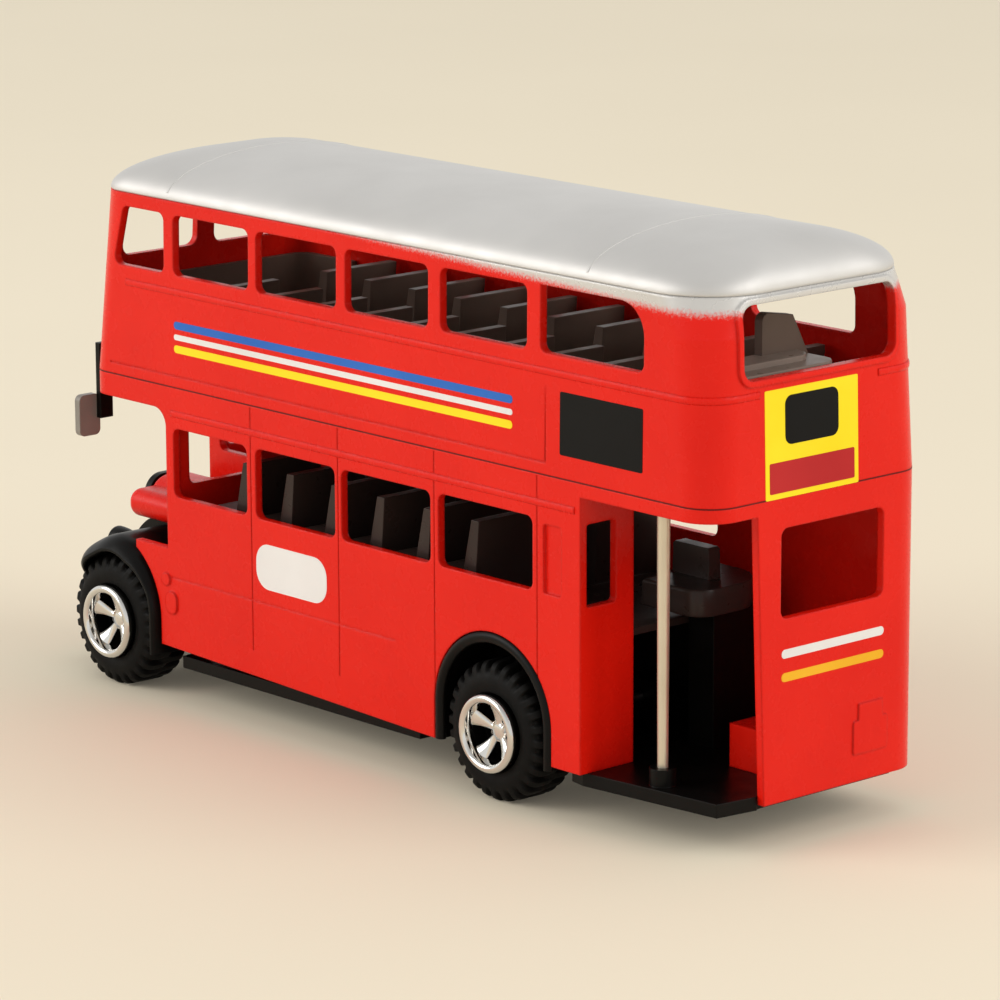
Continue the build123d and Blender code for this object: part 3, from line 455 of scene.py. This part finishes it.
# the rim's bead is part of a circle; a spoke widens, rises and bows by powers of its length and width
def makeHub(name, axleNode, body, node, hand):
    station, axleZ = axleCentre(axleNode)
    low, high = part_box(node)
    innerY, faceY = sorted((abs(low.y) / mm, abs(high.y) / mm))
    bead = np.linspace(hub["beadFrom"], hub["beadTo"], 14)
    rimRadius = np.concatenate([[hub["ring"] - hub["skirt"]], hub["ring"] - hub["bead"] * (1 - np.cos(bead)),
                                [hub["barrel"] + hub["draft"], hub["barrel"]]])
    rimWidth = np.concatenate([[faceY - hub["rimDepth"]], faceY - hub["bead"] * (1 - np.sin(bead)),
                               [faceY - hub["lipDepth"], faceY - hub["rimDepth"]]])
    rim = turned(station, axleZ, hand, rimRadius, rimWidth, ends="loop")
    dome = np.linspace(0, math.pi / 2, 9)[:-1]
    floorY = faceY - hub["dish"]
    capRadius = np.concatenate([[hub["cap"] + hub["capFoot"]] * 2, hub["cap"] * np.cos(dome) + hub["capTip"]])
    capWidth = np.concatenate([[innerY, floorY], floorY + hub["capDome"] * np.sin(dome)])
    shells = [rim, turned(station, axleZ, hand, capRadius, capWidth)]
    along = np.linspace(0, 1, 15)
    reach = hub["root"] + (hub["barrel"] + hub["overlap"] - hub["root"]) * along
    halfWidth = hub["neck"] + (hub["flare"] - hub["neck"]) * along ** hub["flarePower"]
    rise = floorY - hub["sink"] + hub["climb"] * along ** hub["climbPower"]
    around = np.linspace(0, 2 * math.pi, 25)[:-1]
    across = np.sign(np.cos(around)) * np.abs(np.cos(around)) ** hub["flatness"] * halfWidth[:, None]
    lift = rise[:, None] + hub["thick"] * np.sin(around) - hub["bow"] * (across / halfWidth[:, None]) ** 2
    for spoke in range(hub["spokes"]):
        angle = math.pi / 2 + 2 * math.pi * spoke / hub["spokes"]
        u = reach[:, None] * math.cos(angle) - across * math.sin(angle)
        v = reach[:, None] * math.sin(angle) + across * math.cos(angle)
        shells.append(ringFaces(place(station + u, hand * lift, axleZ + v)))
    wellRadius = [hub["barrel"] + well["wall"]] * 2 + [hub["ring"] - well["inset"]] * 2 + [well["bore"]] * 2
    wellWidth = [faceY - well[edge] for edge in ("floor", "front", "front", "back", "back", "floor")]
    drum = turned(station, axleZ, hand, wellRadius, wellWidth, ends="loop")
    addPiece(name.replace("hub", "hubWell"), [drum], blackMoulding, body)
    return addPiece(name, shells, chromePlate, body, [node])


for end, (axleNode, body) in wheels.items():
    for sideName, hand in (("left", 1), ("right", -1)):
        label = end.capitalize() + sideName.capitalize()
        makeTyre("tyre" + label, axleNode, body, "tyre_%s_%s" % (end, sideName), hand)
        makeHub("hub" + label, axleNode, body, "hub_%s_%s" % (end, sideName), hand)
print("wheels: four tyres with %d lugs, four hubs" % tyre["lugs"])

# Transfers: thin rounded plates laid on the walls, which lean in a little above the seam
lean = {"side": 0.4, "rear": 1.0}
film = {"proud": 0.06, "sink": 0.05, "middle": 0.5, "flat": 0.01}
ink = {"rough": (0.3, 0.42), "edge": 0}
blackTransfer = moulded("blackTransfer", (10, 10, 11), (16, 15, 16), **ink, sheen=0.12)
whiteTransfer = moulded("whiteTransfer", (226, 224, 222), (236, 234, 232), **ink)
yellowTransfer = moulded("yellowTransfer", (246, 218, 22), (252, 228, 38), **ink)
amberTransfer = moulded("amberTransfer", (238, 176, 34), (246, 188, 46), **ink)
blueTransfer = moulded("blueTransfer", (38, 98, 186), (48, 110, 198), **ink)
crimsonTransfer = moulded("crimsonTransfer", (178, 30, 34), (190, 38, 40), **ink)


# rounded rectangle: quarter arcs round four corners, in order round the middle
def roundedOutline(width, height, radius, count=10):
    turn = np.linspace(0, math.pi / 2, count)
    quarter = (np.arange(4) * math.pi / 2)[:, None] + turn
    sideways = np.array([1, -1, -1, 1])[:, None] * (width / 2 - radius) + radius * np.cos(quarter)
    upwards = np.array([1, 1, -1, -1])[:, None] * (height / 2 - radius) + radius * np.sin(quarter)
    return sideways.ravel(), upwards.ravel()


# film: an outline sunk in the wall, the same outline proud of it, and a smaller one; it leans with the wall
def makeTransfer(name, wall, middle, height, size, material, radius=0.4, layer=1):
    across, upwards = roundedOutline(size[0], size[1], min(radius, min(size) / 2 - film["flat"]))
    shrink = np.array([1.0, 1.0, film["middle"]])[:, None]
    proud = film["proud"] * layer
    depth = np.array([-film["sink"], proud, proud])[:, None]
    z = height + upwards * shrink
    tuck = np.maximum(z - seamZ, 0) / (gutterZ - seamZ)
    if wall == "side":
        rings = place(middle + across * shrink, bodyHalf - lean["side"] * tuck + depth, z)
    else:
        rings = place(lean["rear"] * tuck - depth, middle + across * shrink, z)
    return addPiece(name, [ringFaces(rings)], material)


# wall, middle, height, size and ink, then corner radius and layer
makeTransfer("sideRoutePlate", "side", 26.8, seamZ + 9.9, (20.9, 11.3), blackTransfer)
makeTransfer("sideOblong", "side", 111.3, seamZ - 30.5, (20.6, 8.8), whiteTransfer, 3.6)
makeTransfer("blueBandStripe", "side", 97.6, seamZ + 12.2, (96.0, 1.5), blueTransfer, 0.7)
makeTransfer("whiteBandStripe", "side", 97.6, seamZ + 9.9, (96.0, 1.1), whiteTransfer, 0.5)
makeTransfer("yellowBandStripe", "side", 97.6, seamZ + 7.6, (96.0, 1.5), yellowTransfer, 0.7)
makeTransfer("rearPanel", "rear", 2.0, seamZ + 9.5, (22.9, 19.2), yellowTransfer, 0.3)
makeTransfer("rearRouteBox", "rear", 2.0, seamZ + 13.4, (13.1, 8.6), blackTransfer, 1.6, 2)
makeTransfer("rearRedStrip", "rear", 2.0, seamZ + 3.6, (20.9, 5.4), crimsonTransfer, 0.3, 2)
makeTransfer("rearWhiteStripe", "rear", -3.6, seamZ - 28.0, (25.6, 1.6), whiteTransfer, 0.75)
makeTransfer("rearAmberStripe", "rear", -3.6, seamZ - 32.2, (25.6, 1.6), amberTransfer, 0.75)
print("transfers: plates and stripes")

# Seam: a hairline round the body between the decks, a thin square bead on the seam's outline, coloured dark
# red as painted shadow of the gap between the two decks
seam = {"rearCorner": 6.5, "frontCorner": 5.0, "tall": 0.13, "proud": 0.03, "sink": 0.1}
# dark red: painted shadow standing in for the shade in the seam's gap
seamPaintedShadow = moulded("seamPaintedShadow", (92, 8, 6), (110, 12, 9), (0.4, 0.5), edge=0)


# the outline is offset in and out at two heights, and the four rings close on themselves
def makeSeam():
    offset = np.array([-seam["sink"], seam["proud"], seam["proud"], -seam["sink"]])
    rise = np.array([-1, -1, 1, 1]) * seam["tall"]
    rings = roofRing(bodyHalf + offset, -offset, deckFront + offset, seam["rearCorner"] + offset,
                     seam["frontCorner"] + offset, seamZ + rise)
    return addPiece("seamLine", [ringFaces(rings, "loop")], seamPaintedShadow)


makeSeam()
print("seam: one hairline")

# Front wings: a domed section carried up the rear leg and over the wheel to a rounded tip
wing = {"radius": 15.4, "rise": 3.0, "legFoot": 8.9, "tip": 13.0, "inner": 14.2, "outer": 28.3, "wall": 1.0,
        "crown": 0.9, "innerFall": 0.5, "lipFall": 2.1, "frontDip": 1.1, "tipTaper": 5.0,
        "dipAt": 62, "dipSpread": 26, "turnFrom": 112, "turnSpan": 40, "crownShare": 0.5, "lipFrom": 0.7,
        "lipSpan": 0.3, "lipPower": 2.2, "legSpan": 60, "legShare": 0.35, "taperFrom": 58, "lipTuck": 0.35,
        "lipProud": 0.2, "plateRadius": 13.2, "notchRadius": 3.0, "plateWall": 1.2}


# the section falls from its crown to both edges; its radius dips in front of the top and its lip draws in
def makeWing(name, node, hand):
    station, axleZ = axleCentre("front_axle")
    archZ = axleZ + wing["rise"]
    leg = np.linspace(wing["legFoot"] - archZ, 0, 9)[:-1]
    sweep = np.radians(np.linspace(180, wing["tip"], 61))
    angle = np.concatenate([np.full(len(leg), math.pi), sweep])[:, None]
    lower = np.concatenate([leg, np.zeros(len(sweep))])[:, None]
    share = np.linspace(0, 1, 31)[None, :]
    degrees = np.degrees(angle)
    dip = wing["frontDip"] * np.exp(-((degrees - wing["dipAt"]) / wing["dipSpread"]) ** 2)
    ahead = np.clip((wing["turnFrom"] - degrees) / wing["turnSpan"], 0, 1)
    inward = np.clip(1 - share / wing["crownShare"], 0, 1) ** 2
    fall = wing["crown"] + inward * (wing["innerFall"] * ahead - wing["crown"] * (1 - ahead))
    lip = np.clip((share - wing["lipFrom"]) / wing["lipSpan"], 0, 1) ** wing["lipPower"]
    over = np.clip((180 - degrees) / wing["legSpan"], wing["legShare"], 1)
    radius = wing["radius"] - fall * over - wing["lipFall"] * lip * over - dip
    taperSpan = wing["taperFrom"] - wing["tip"]
    taper = wing["tipTaper"] * np.clip((wing["taperFrom"] - degrees) / taperSpan, 0, 1) ** 2
    y = wing["inner"] + (wing["outer"] - taper - wing["inner"]) * share
    inside = radius - wing["wall"]
    yInside = y - wing["lipTuck"] * lip
    middle = (radius[:, -1:] + inside[:, -1:]) / 2
    half = wing["wall"] / 4
    section = np.concatenate([radius, middle + half, middle - half, inside[:, ::-1]], 1)
    lipY = y[:, -1:] + wing["lipProud"]
    across = np.concatenate([y, lipY, lipY, yInside[:, ::-1]], 1)
    rings = place(station + section * np.cos(angle), hand * across, archZ + lower + section * np.sin(angle))
    # inner wall: the arch outline joined to a keyhole notch round the axle
    around = np.radians(np.linspace(180, 0, 41))
    foot = np.array([wing["legFoot"]])
    large, small = wing["plateRadius"], wing["notchRadius"]
    outline = np.concatenate([[-large], large * np.cos(around), [large]])
    height = np.concatenate([foot, archZ + large * np.sin(around), foot])
    notch = np.concatenate([[-small], small * np.cos(around), [small]])
    notchZ = np.concatenate([foot, axleZ + small * np.sin(around), foot])
    nearY, farY = wing["inner"], wing["inner"] + wing["plateWall"]
    plate = np.stack([place(station + run, hand * wallY, z) for run, z, wallY in (
        (outline, height, nearY), (notch, notchZ, nearY), (notch, notchZ, farY), (outline, height, farY))])
    count = plate.shape[1]
    points = plate.reshape(-1, 3)
    here = np.arange(count - 1)
    faces = []
    for row in range(4):
        a, b = row * count, (row + 1) % 4 * count
        faces += np.stack([a + here, a + here + 1, b + here + 1, b + here], -1).tolist()
    for end in (0, count - 1):
        faces.append([end + row * count for row in (range(4) if end else range(3, -1, -1))])
    guard = ringFaces(rings, ("strip", "strip"))
    return addPiece(name, [guard, (points, faces)], blackMoulding, instead=[node])


# Valance between the left wing and the bonnet: a thin plate whose top edge falls in a curve towards the lamp
valance = {"rear": 151.6, "level": 168.0, "front": 176.2, "bottom": 20.0, "top": 31.5, "fall": 5.8,
           "near": 14.3, "far": 13.6}


# the top edge is level, then falls with the square of the way ahead; two copies of the outline make the plate
def makeValance():
    ahead = np.linspace(0, 1, 12)
    rear, level, front, top = (valance[key] for key in ("rear", "level", "front", "top"))
    station = np.concatenate([[rear], level + (front - level) * ahead, [front, rear]])
    z = np.concatenate([[top], top - valance["fall"] * ahead ** 2, [valance["bottom"]] * 2])
    rings = np.stack([place(station, valance[edge], z) for edge in ("far", "near")])
    return addPiece("wingValance", [ringFaces(rings)], blackMoulding)


makeWing("wingLeft", "wing_left", 1)
makeWing("wingRight", "wing_right", -1)
makeValance()
print("wings: two domed guards and a valance")

# Rear arch rims: an oval section carried up one leg, over the arch and down the other
archRim = {"middle": 14.5, "wide": 1.1, "deep": 0.9, "face": 26.6}


# an oval set at a radius from the arch's centre, moved down for the two feet
def makeArchRim(name, node, hand):
    low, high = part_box(node)
    station, radius = ((low.x + high.x) / 2 - rearX) / mm, (high.x - low.x) / 2 / mm
    foot, centre = low.z / mm, high.z / mm - radius
    sweep = np.linspace(math.pi, 0, 49)
    angle = np.concatenate([[math.pi], sweep, [0]])[:, None]
    lower = np.concatenate([[foot - centre], np.zeros(len(sweep)), [foot - centre]])[:, None]
    around = np.linspace(0, 2 * math.pi, 21)[:-1]
    reach = archRim["middle"] + archRim["wide"] * np.cos(around)
    across = archRim["face"] + archRim["deep"] * np.sin(around)
    rings = place(station + reach * np.cos(angle), hand * across, centre + lower + reach * np.sin(angle))
    return addPiece(name, [ringFaces(rings)], blackMoulding)


makeArchRim("archRimLeft", "rear_liner_left", 1)
makeArchRim("archRimRight", "rear_liner_right", -1)
print("rear arches: two rolled rims")

# Headlamps: a bullet turned about the fore-and-aft axis, its lens a shallow cap in the rim
lamp = {"rear": 177.6, "front": 184.2, "radius": 2.7, "lens": 2.2, "bulge": 0.6, "drop": 0.4,
        "tail": 0.05, "power": 2.4, "lensSeat": 0.3, "glassSeat": 0.35}


# rows of station and radius become circles round a line that runs forwards
def turnedForward(y, z, stations, radius, count=48):
    turn = np.linspace(0, 2 * math.pi, count + 1)[:-1]
    stations, radius = np.asarray(stations)[:, None], np.asarray(radius)[:, None]
    return ringFaces(place(stations + 0 * turn, y + radius * np.cos(turn), z + radius * np.sin(turn)))


for sideName, hand in (("left", 1), ("right", -1)):
    lampLow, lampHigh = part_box("headlamp_" + sideName)
    lampY = lampLow.y / mm + lamp["radius"] if hand > 0 else lampHigh.y / mm - lamp["radius"]
    lampZ = (lampLow.z + lampHigh.z) / 2 / mm - lamp["drop"]
    swell = np.linspace(lamp["tail"], 1, 14)
    stations = lamp["rear"] + (lamp["front"] - lamp["rear"]) * swell
    girth = lamp["radius"] * np.sqrt(1 - (1 - swell) ** lamp["power"])
    shell = turnedForward(lampY, lampZ, np.append(stations, lamp["front"] - lamp["lensSeat"]),
                          np.append(girth, lamp["lens"]))
    label = sideName.capitalize()
    addPiece("lamp" + label, [shell], blackMoulding, instead=["headlamp_" + sideName])
    steps = np.linspace(0, 1, 9)[:-1] * math.pi / 2
    glass = turnedForward(lampY, lampZ, lamp["front"] - lamp["glassSeat"] + lamp["bulge"] * np.sin(steps),
                          lamp["lens"] * np.cos(steps))
    addPiece("lens" + label, [glass], mirrorPlate)
print("lamps: two bullets with lenses")

# Pole: a plain turned bar, a little thicker at the top
pole = {"foot": 0.95, "head": 1.2}
poleLow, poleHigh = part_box("pole")
poleX, poleY = ((poleLow.x + poleHigh.x) / 2 - rearX) / mm, (poleLow.y + poleHigh.y) / 2 / mm
turn = np.linspace(0, 2 * math.pi, 33)[:-1]
climb = np.linspace(0, 1, 13)[:, None]
girth = pole["foot"] + (pole["head"] - pole["foot"]) * climb
bar = place(poleX + girth * np.cos(turn), poleY + girth * np.sin(turn),
            poleLow.z / mm + (poleHigh.z - poleLow.z) / mm * climb + 0 * turn)
addPiece("poleBar", [ringFaces(bar)], poleMetal, instead=["pole"])
print("pole: one bar")

# Lining of the upper deck: a wall round the front
deck = {"floor": seamZ + 1.2, "liningTop": seamZ + 17.4, "liningRear": 152.6, "liningFront": 168.8,
        "liningHalf": 24.9, "liningCorner": 4.0, "liningWall": 1.1}


# wall: an open plan line from nearside to offside with two quarter-turn corners, given thickness and height
def makeLining():
    half, front, corner = deck["liningHalf"], deck["liningFront"], deck["liningCorner"]
    arc = np.linspace(0, math.pi / 2, 12)
    station = np.concatenate([[deck["liningRear"]], front - corner + corner * np.sin(arc)])
    y = np.concatenate([[half], half - corner + corner * np.cos(arc)])
    inset = np.concatenate([[0], np.sin(arc)]), np.concatenate([[1], np.cos(arc)])
    wall = deck["liningWall"]
    station, y = np.append(station, station[::-1]), np.append(y, -y[::-1])
    inX = np.append(inset[0], inset[0][::-1])
    inY = np.append(inset[1], -inset[1][::-1])
    rings = np.stack([
        place(station - off * inX, y - off * inY, z) for off, z in (
            (0, deck["floor"]), (0, deck["liningTop"]), (wall, deck["liningTop"]), (wall, deck["floor"]))], 1)
    return addPiece("frontLining", [ringFaces(rings)], seatMoulding)


# solid with an upright outline: rows of (height, scale) share one plan outline, drawn in about its middle
def upright(station, y, rows):
    midX, midY = station.mean(), y.mean()
    return ringFaces(np.stack([
        place(midX + (station - midX) * scale, midY + (y - midY) * scale, height) for height, scale in rows]))


# Rear bench: a seat and a thinner cushion on it, each with one rounded corner in its plan
bench = {"front": 12.2, "corner": 3.6, "near": 22.6, "seatDepth": 9.6, "seatTop": seamZ + 21.6,
         "seatFar": -7.4, "padDepth": 6.0, "padTop": seamZ + 22.6, "padFar": -4.6, "edge": 0.3,
         "topScale": 0.97}


# plan: square at the nearside, a quarter turn at the rear offside corner
def makeRearBench():
    arc = np.linspace(0, math.pi / 2, 10)
    shells = []
    front, corner, near = bench["front"], bench["corner"], bench["near"]
    for tier, foot in (("seat", deck["floor"]), ("pad", bench["seatTop"])):
        back, top, reach = front - bench[tier + "Depth"], bench[tier + "Top"], bench[tier + "Far"]
        station = np.concatenate([[front, back], back + corner * (1 - np.cos(arc)), [front]])
        y = np.concatenate([[near, near], reach + corner * (1 - np.sin(arc)), [reach]])
        shells.append(upright(station, y, ((foot, 1), (top - bench["edge"], 1), (top, bench["topScale"]))))
    # the rear bench wears the lighter seat plastic, a painted highlight
    return addPiece("rearBench", shells, seatMouldingPaintedHighlight)


# Its back: a plate whose offside edge leans out downwards
rest = {"near": 4.2, "corner": 1.6, "cornerZ": seamZ + 28.4, "farTop": -3.4, "farTopZ": seamZ + 29.0,
        "far": -7.6, "farZ": seamZ + 21, "stations": (10.4, 10.6, 12.0, 12.2)}


# outline: a quarter turn at the upper nearside corner, then straight runs down the offside
def makeRearBack():
    arc = np.linspace(0, math.pi / 2, 8)
    near, corner, far, floor = rest["near"], rest["corner"], rest["far"], deck["floor"]
    y = np.concatenate([[near], near - corner * (1 - np.cos(arc)), [rest["farTop"], far, far]])
    z = np.concatenate([[floor], rest["cornerZ"] + corner * np.sin(arc),
                        [rest["farTopZ"], rest["farZ"], floor]])
    rings = np.stack([place(station, y, z) for station in rest["stations"]])
    return addPiece("rearSeatBack", [ringFaces(rings)], seatMoulding)


# Landing bench: a plan with one small and one large rounded corner, and a thin back standing along it
landing = {"front": 41.6, "rear": 26.8, "nearY": 2.8, "farY": -16.0, "nearCorner": 4.0, "farCorner": 9.0,
           "bottom": 35.0, "top": 40.0, "backTop": 45.8, "backRear": 32.5, "backNear": -5.0, "backFar": -7.8,
           "columnFront": 34.2, "columnRear": 27.8, "columnNear": -1.8, "columnFar": -15.2, "edge": 0.4,
           "bottomScale": 0.97, "topScale": 0.96, "backFootScale": 1.04, "backTopScale": 0.93}


# four corners of a plan, nearside first
def planCorners(front, rear, near, far):
    return np.array([front, rear, rear, front]), np.array([near, near, far, far])


# the shelf's rear corners are quarter turns; the back and the column under it are plain uprights
def makeLandingBench():
    arc = np.linspace(0, math.pi / 2, 12)
    small, large, edge = landing["nearCorner"], landing["farCorner"], landing["edge"]
    bottom, top, backTop = landing["bottom"], landing["top"], landing["backTop"]
    station = np.concatenate([[landing["front"]], landing["rear"] + small * (1 - np.sin(arc)),
                              landing["rear"] + large * (1 - np.cos(arc)), [landing["front"]]])
    y = np.concatenate([[landing["nearY"]], landing["nearY"] - small * (1 - np.cos(arc)),
                        landing["farY"] + large * (1 - np.sin(arc)), [landing["farY"]]])
    shelf = upright(station, y, ((bottom, landing["bottomScale"]), (bottom + edge, 1), (top - edge, 1),
                                 (top, landing["topScale"])))
    plan = planCorners(landing["front"], landing["backRear"], landing["backNear"], landing["backFar"])
    back = upright(*plan, ((top, landing["backFootScale"]), (backTop - edge, 1),
                           (backTop, landing["backTopScale"])))
    # the landing bench wears the darker seat plastic, painted shade
    addPiece("landingBench", [shelf, back], seatMouldingPaintedShade, instead=["landing_seat"])
    plan = planCorners(*(landing["column" + side] for side in ("Front", "Rear", "Near", "Far")))
    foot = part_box("stair_block")[0].z / mm
    column = upright(*plan, ((foot, 1), (bottom, 1)))
    addPiece("stairColumn", [column], blackMoulding, instead=["stair_block"])


makeLining()
makeRearBench()
makeRearBack()
makeLandingBench()
print("inside: lining, rear bench with its back, landing bench with its column")

# Moulded beads: ribs along the walls, one round the rear corners, one over the lower windows
bead = {"waistZ": seamZ + 18.6, "headZ": seamZ - 5.2, "tall": 0.7, "proud": 0.22, "corner": 7.5,
        "rearReach": 14.6, "front": deckFront - 12.0, "headRear": 33.4, "headFront": 147.0}


# an oval carried along a plan line, set out along the line's own outward direction
def makeBead(name, hand, z, station, y, outX, outY):
    around = np.linspace(0, 2 * math.pi, 13)[:-1]
    out = bead["proud"] * np.cos(around)
    rings = place(station[:, None] + outX[:, None] * out, hand * (y[:, None] + outY[:, None] * out),
                  z + bead["tall"] * np.sin(around))
    return addPiece(name, [ringFaces(rings)], redMoulding)


for sideName, hand in (("Left", 1), ("Right", -1)):
    waist = (bead["waistZ"] - seamZ) / (gutterZ - seamZ)
    half, back, corner = bodyHalf - lean["side"] * waist, lean["rear"] * waist, bead["corner"]
    arc = np.linspace(0, math.pi / 2, 14)
    station = np.concatenate([[bead["front"]], back + corner - corner * np.sin(arc), [back]])
    y = np.concatenate([[half], half - corner + corner * np.cos(arc), [bead["rearReach"]]])
    outX = np.concatenate([[0], -np.sin(arc), [-1]])
    outY = np.concatenate([[1], np.cos(arc), [0]])
    makeBead("waistBead" + sideName, hand, bead["waistZ"], station, y, outX, outY)
    flat = np.array([bead["headRear"], bead["headFront"]])
    makeBead("headBead" + sideName, hand, bead["headZ"], flat, np.full(2, bodyHalf), np.zeros(2), np.ones(2))
print("beads: waist and window head on both sides")

# Studio: pale floor, a sky that dims upwards, a broad key from above, one soft box each for nearside and rear
studio = {"floor": (236, 225, 203), "glow": (246, 234, 211), "glowShare": 0.06, "sky": (240, 240, 238),
          "horizon": 0.98, "zenith": 0.6, "skyFrom": 0.15, "skyTo": 0.95, "keyEnergy": 0.25, "keyAngle": 70.0,
          "nearEnergy": 20.2, "rearEnergy": 16.5, "floorHalf": 6.0, "floorPatch": 3.0, "floorRough": 0.9,
          "floorSheen": 0.1}


# one large square at height 0
def makeFloor():
    half = studio["floorHalf"]
    corners = [(-half, -half, 0), (half, -half, 0), (half, half, 0), (-half, half, 0)]
    mesh = bpy.data.meshes.new("floor")
    mesh.from_pydata(corners, [], [(0, 1, 2, 3)])
    floor = bpy.data.objects.new("floor", mesh)
    bpy.context.scene.collection.objects.link(floor)
    material, tree, shader = newMaterial("paleFloor")
    shade = np.array(studio["floor"])
    colour = between(tree, noise(tree, studio["floorPatch"]), linear(*(shade - 2)), linear(*(shade + 1)))
    tree.links.new(colour, shader.inputs["Base Color"])
    shader.inputs["Roughness"].default_value = studio["floorRough"]
    shader.inputs["Specular IOR Level"].default_value = studio["floorSheen"]
    # seen directly, in metal or through glass, the floor is part backdrop; it still takes the bus's shadow
    path = addNode(tree, "ShaderNodeLightPath")
    seen = path.outputs["Is Camera Ray"]
    for kind in ("Is Glossy Ray", "Is Transmission Ray"):
        seen = math2(tree, "MAXIMUM", seen, path.outputs[kind])
    glow = addNode(tree, "ShaderNodeEmission")
    glow.inputs["Color"].default_value = linear(*studio["glow"])
    blend = addNode(tree, "ShaderNodeMixShader")
    tree.links.new(math2(tree, "MULTIPLY", seen, studio["glowShare"]), blend.inputs["Fac"])
    tree.links.new(shader.outputs["BSDF"], blend.inputs[1])
    tree.links.new(glow.outputs["Emission"], blend.inputs[2])
    tree.links.new(blend.outputs["Shader"], tree.nodes["Material Output"].inputs["Surface"])
    mesh.materials.append(material)


# a light at a place, turned to look at its target
def addLamp(name, kind, location, target, energy, size=None, angle=None, shade=(255, 253, 249)):
    light = bpy.data.lights.new(name, kind)
    light.energy = energy
    light.color = linear(*shade)[:3]
    if size:
        light.shape = "RECTANGLE"
        light.size, light.size_y = size
    if angle:
        light.angle = math.radians(angle)
    holder = bpy.data.objects.new(name, light)
    holder.location = location
    direction = Vector(target) - Vector(location)
    holder.rotation_euler = direction.to_track_quat("-Z", "Y").to_euler()
    bpy.context.scene.collection.objects.link(holder)


makeFloor()
world = bpy.data.worlds.new("studioSky")
bpy.context.scene.world = world
world.use_nodes = True
sky = world.node_tree.nodes["Background"]
sky.inputs["Color"].default_value = linear(*studio["sky"])
skyWay = addNode(world.node_tree, "ShaderNodeTexCoord")
skyHeight = addNode(world.node_tree, "ShaderNodeSeparateXYZ")
world.node_tree.links.new(skyWay.outputs["Generated"], skyHeight.inputs["Vector"])
skyFade = remap(world.node_tree, skyHeight.outputs["Z"], studio["skyFrom"], studio["skyTo"],
                studio["horizon"], studio["zenith"], True)
world.node_tree.links.new(skyFade, sky.inputs["Strength"])
addLamp("key", "SUN", (0.1, -0.5, 1.2), (0, 0, 0), studio["keyEnergy"], angle=studio["keyAngle"])
addLamp("nearsideBox", "AREA", (1.15, 1.5, 1.0), (0, 0, 0.06), studio["nearEnergy"], size=(1.5, 1.3))
addLamp("rearBox", "AREA", (-1.65, -0.75, 1.1), (-0.05, 0, 0.06), studio["rearEnergy"], size=(1.4, 1.3))

# Camera: place, turn and lens solved from the photograph, in millimetres and radians
camera = {"location": (-662.64, 588.685, 248.539), "yaw": 0.7349, "pitch": 0.2255, "roll": -0.0036,
          "focalPixels": 4832.22, "imagePixels": 1000.0, "sensor": 36.0, "clip": (0.05, 20.0)}


# yaw and pitch give the view line, and roll turns the level line about it
def makeCamera():
    yaw, pitch, roll = camera["yaw"], camera["pitch"], camera["roll"]
    forward = Vector((math.cos(yaw) * math.cos(pitch), -math.sin(yaw) * math.cos(pitch), -math.sin(pitch)))
    level = Vector((-math.sin(yaw), -math.cos(yaw), 0))
    overhead = level.cross(forward)
    right = level * math.cos(roll) + overhead * math.sin(roll)
    up = overhead * math.cos(roll) - level * math.sin(roll)
    data = bpy.data.cameras.new("photoCamera")
    data.sensor_width = camera["sensor"]
    data.lens = camera["focalPixels"] * camera["sensor"] / camera["imagePixels"]
    data.clip_start, data.clip_end = camera["clip"]
    holder = bpy.data.objects.new("photoCamera", data)
    turn = Matrix((right, up, -forward)).transposed().to_4x4()
    holder.matrix_world = Matrix.Translation(Vector(camera["location"]) * mm) @ turn
    bpy.context.scene.collection.objects.link(holder)
    bpy.context.scene.camera = holder


makeCamera()
bpy.context.scene.view_settings.view_transform = "Standard"
print("studio: floor, sky, three lamps and the camera")
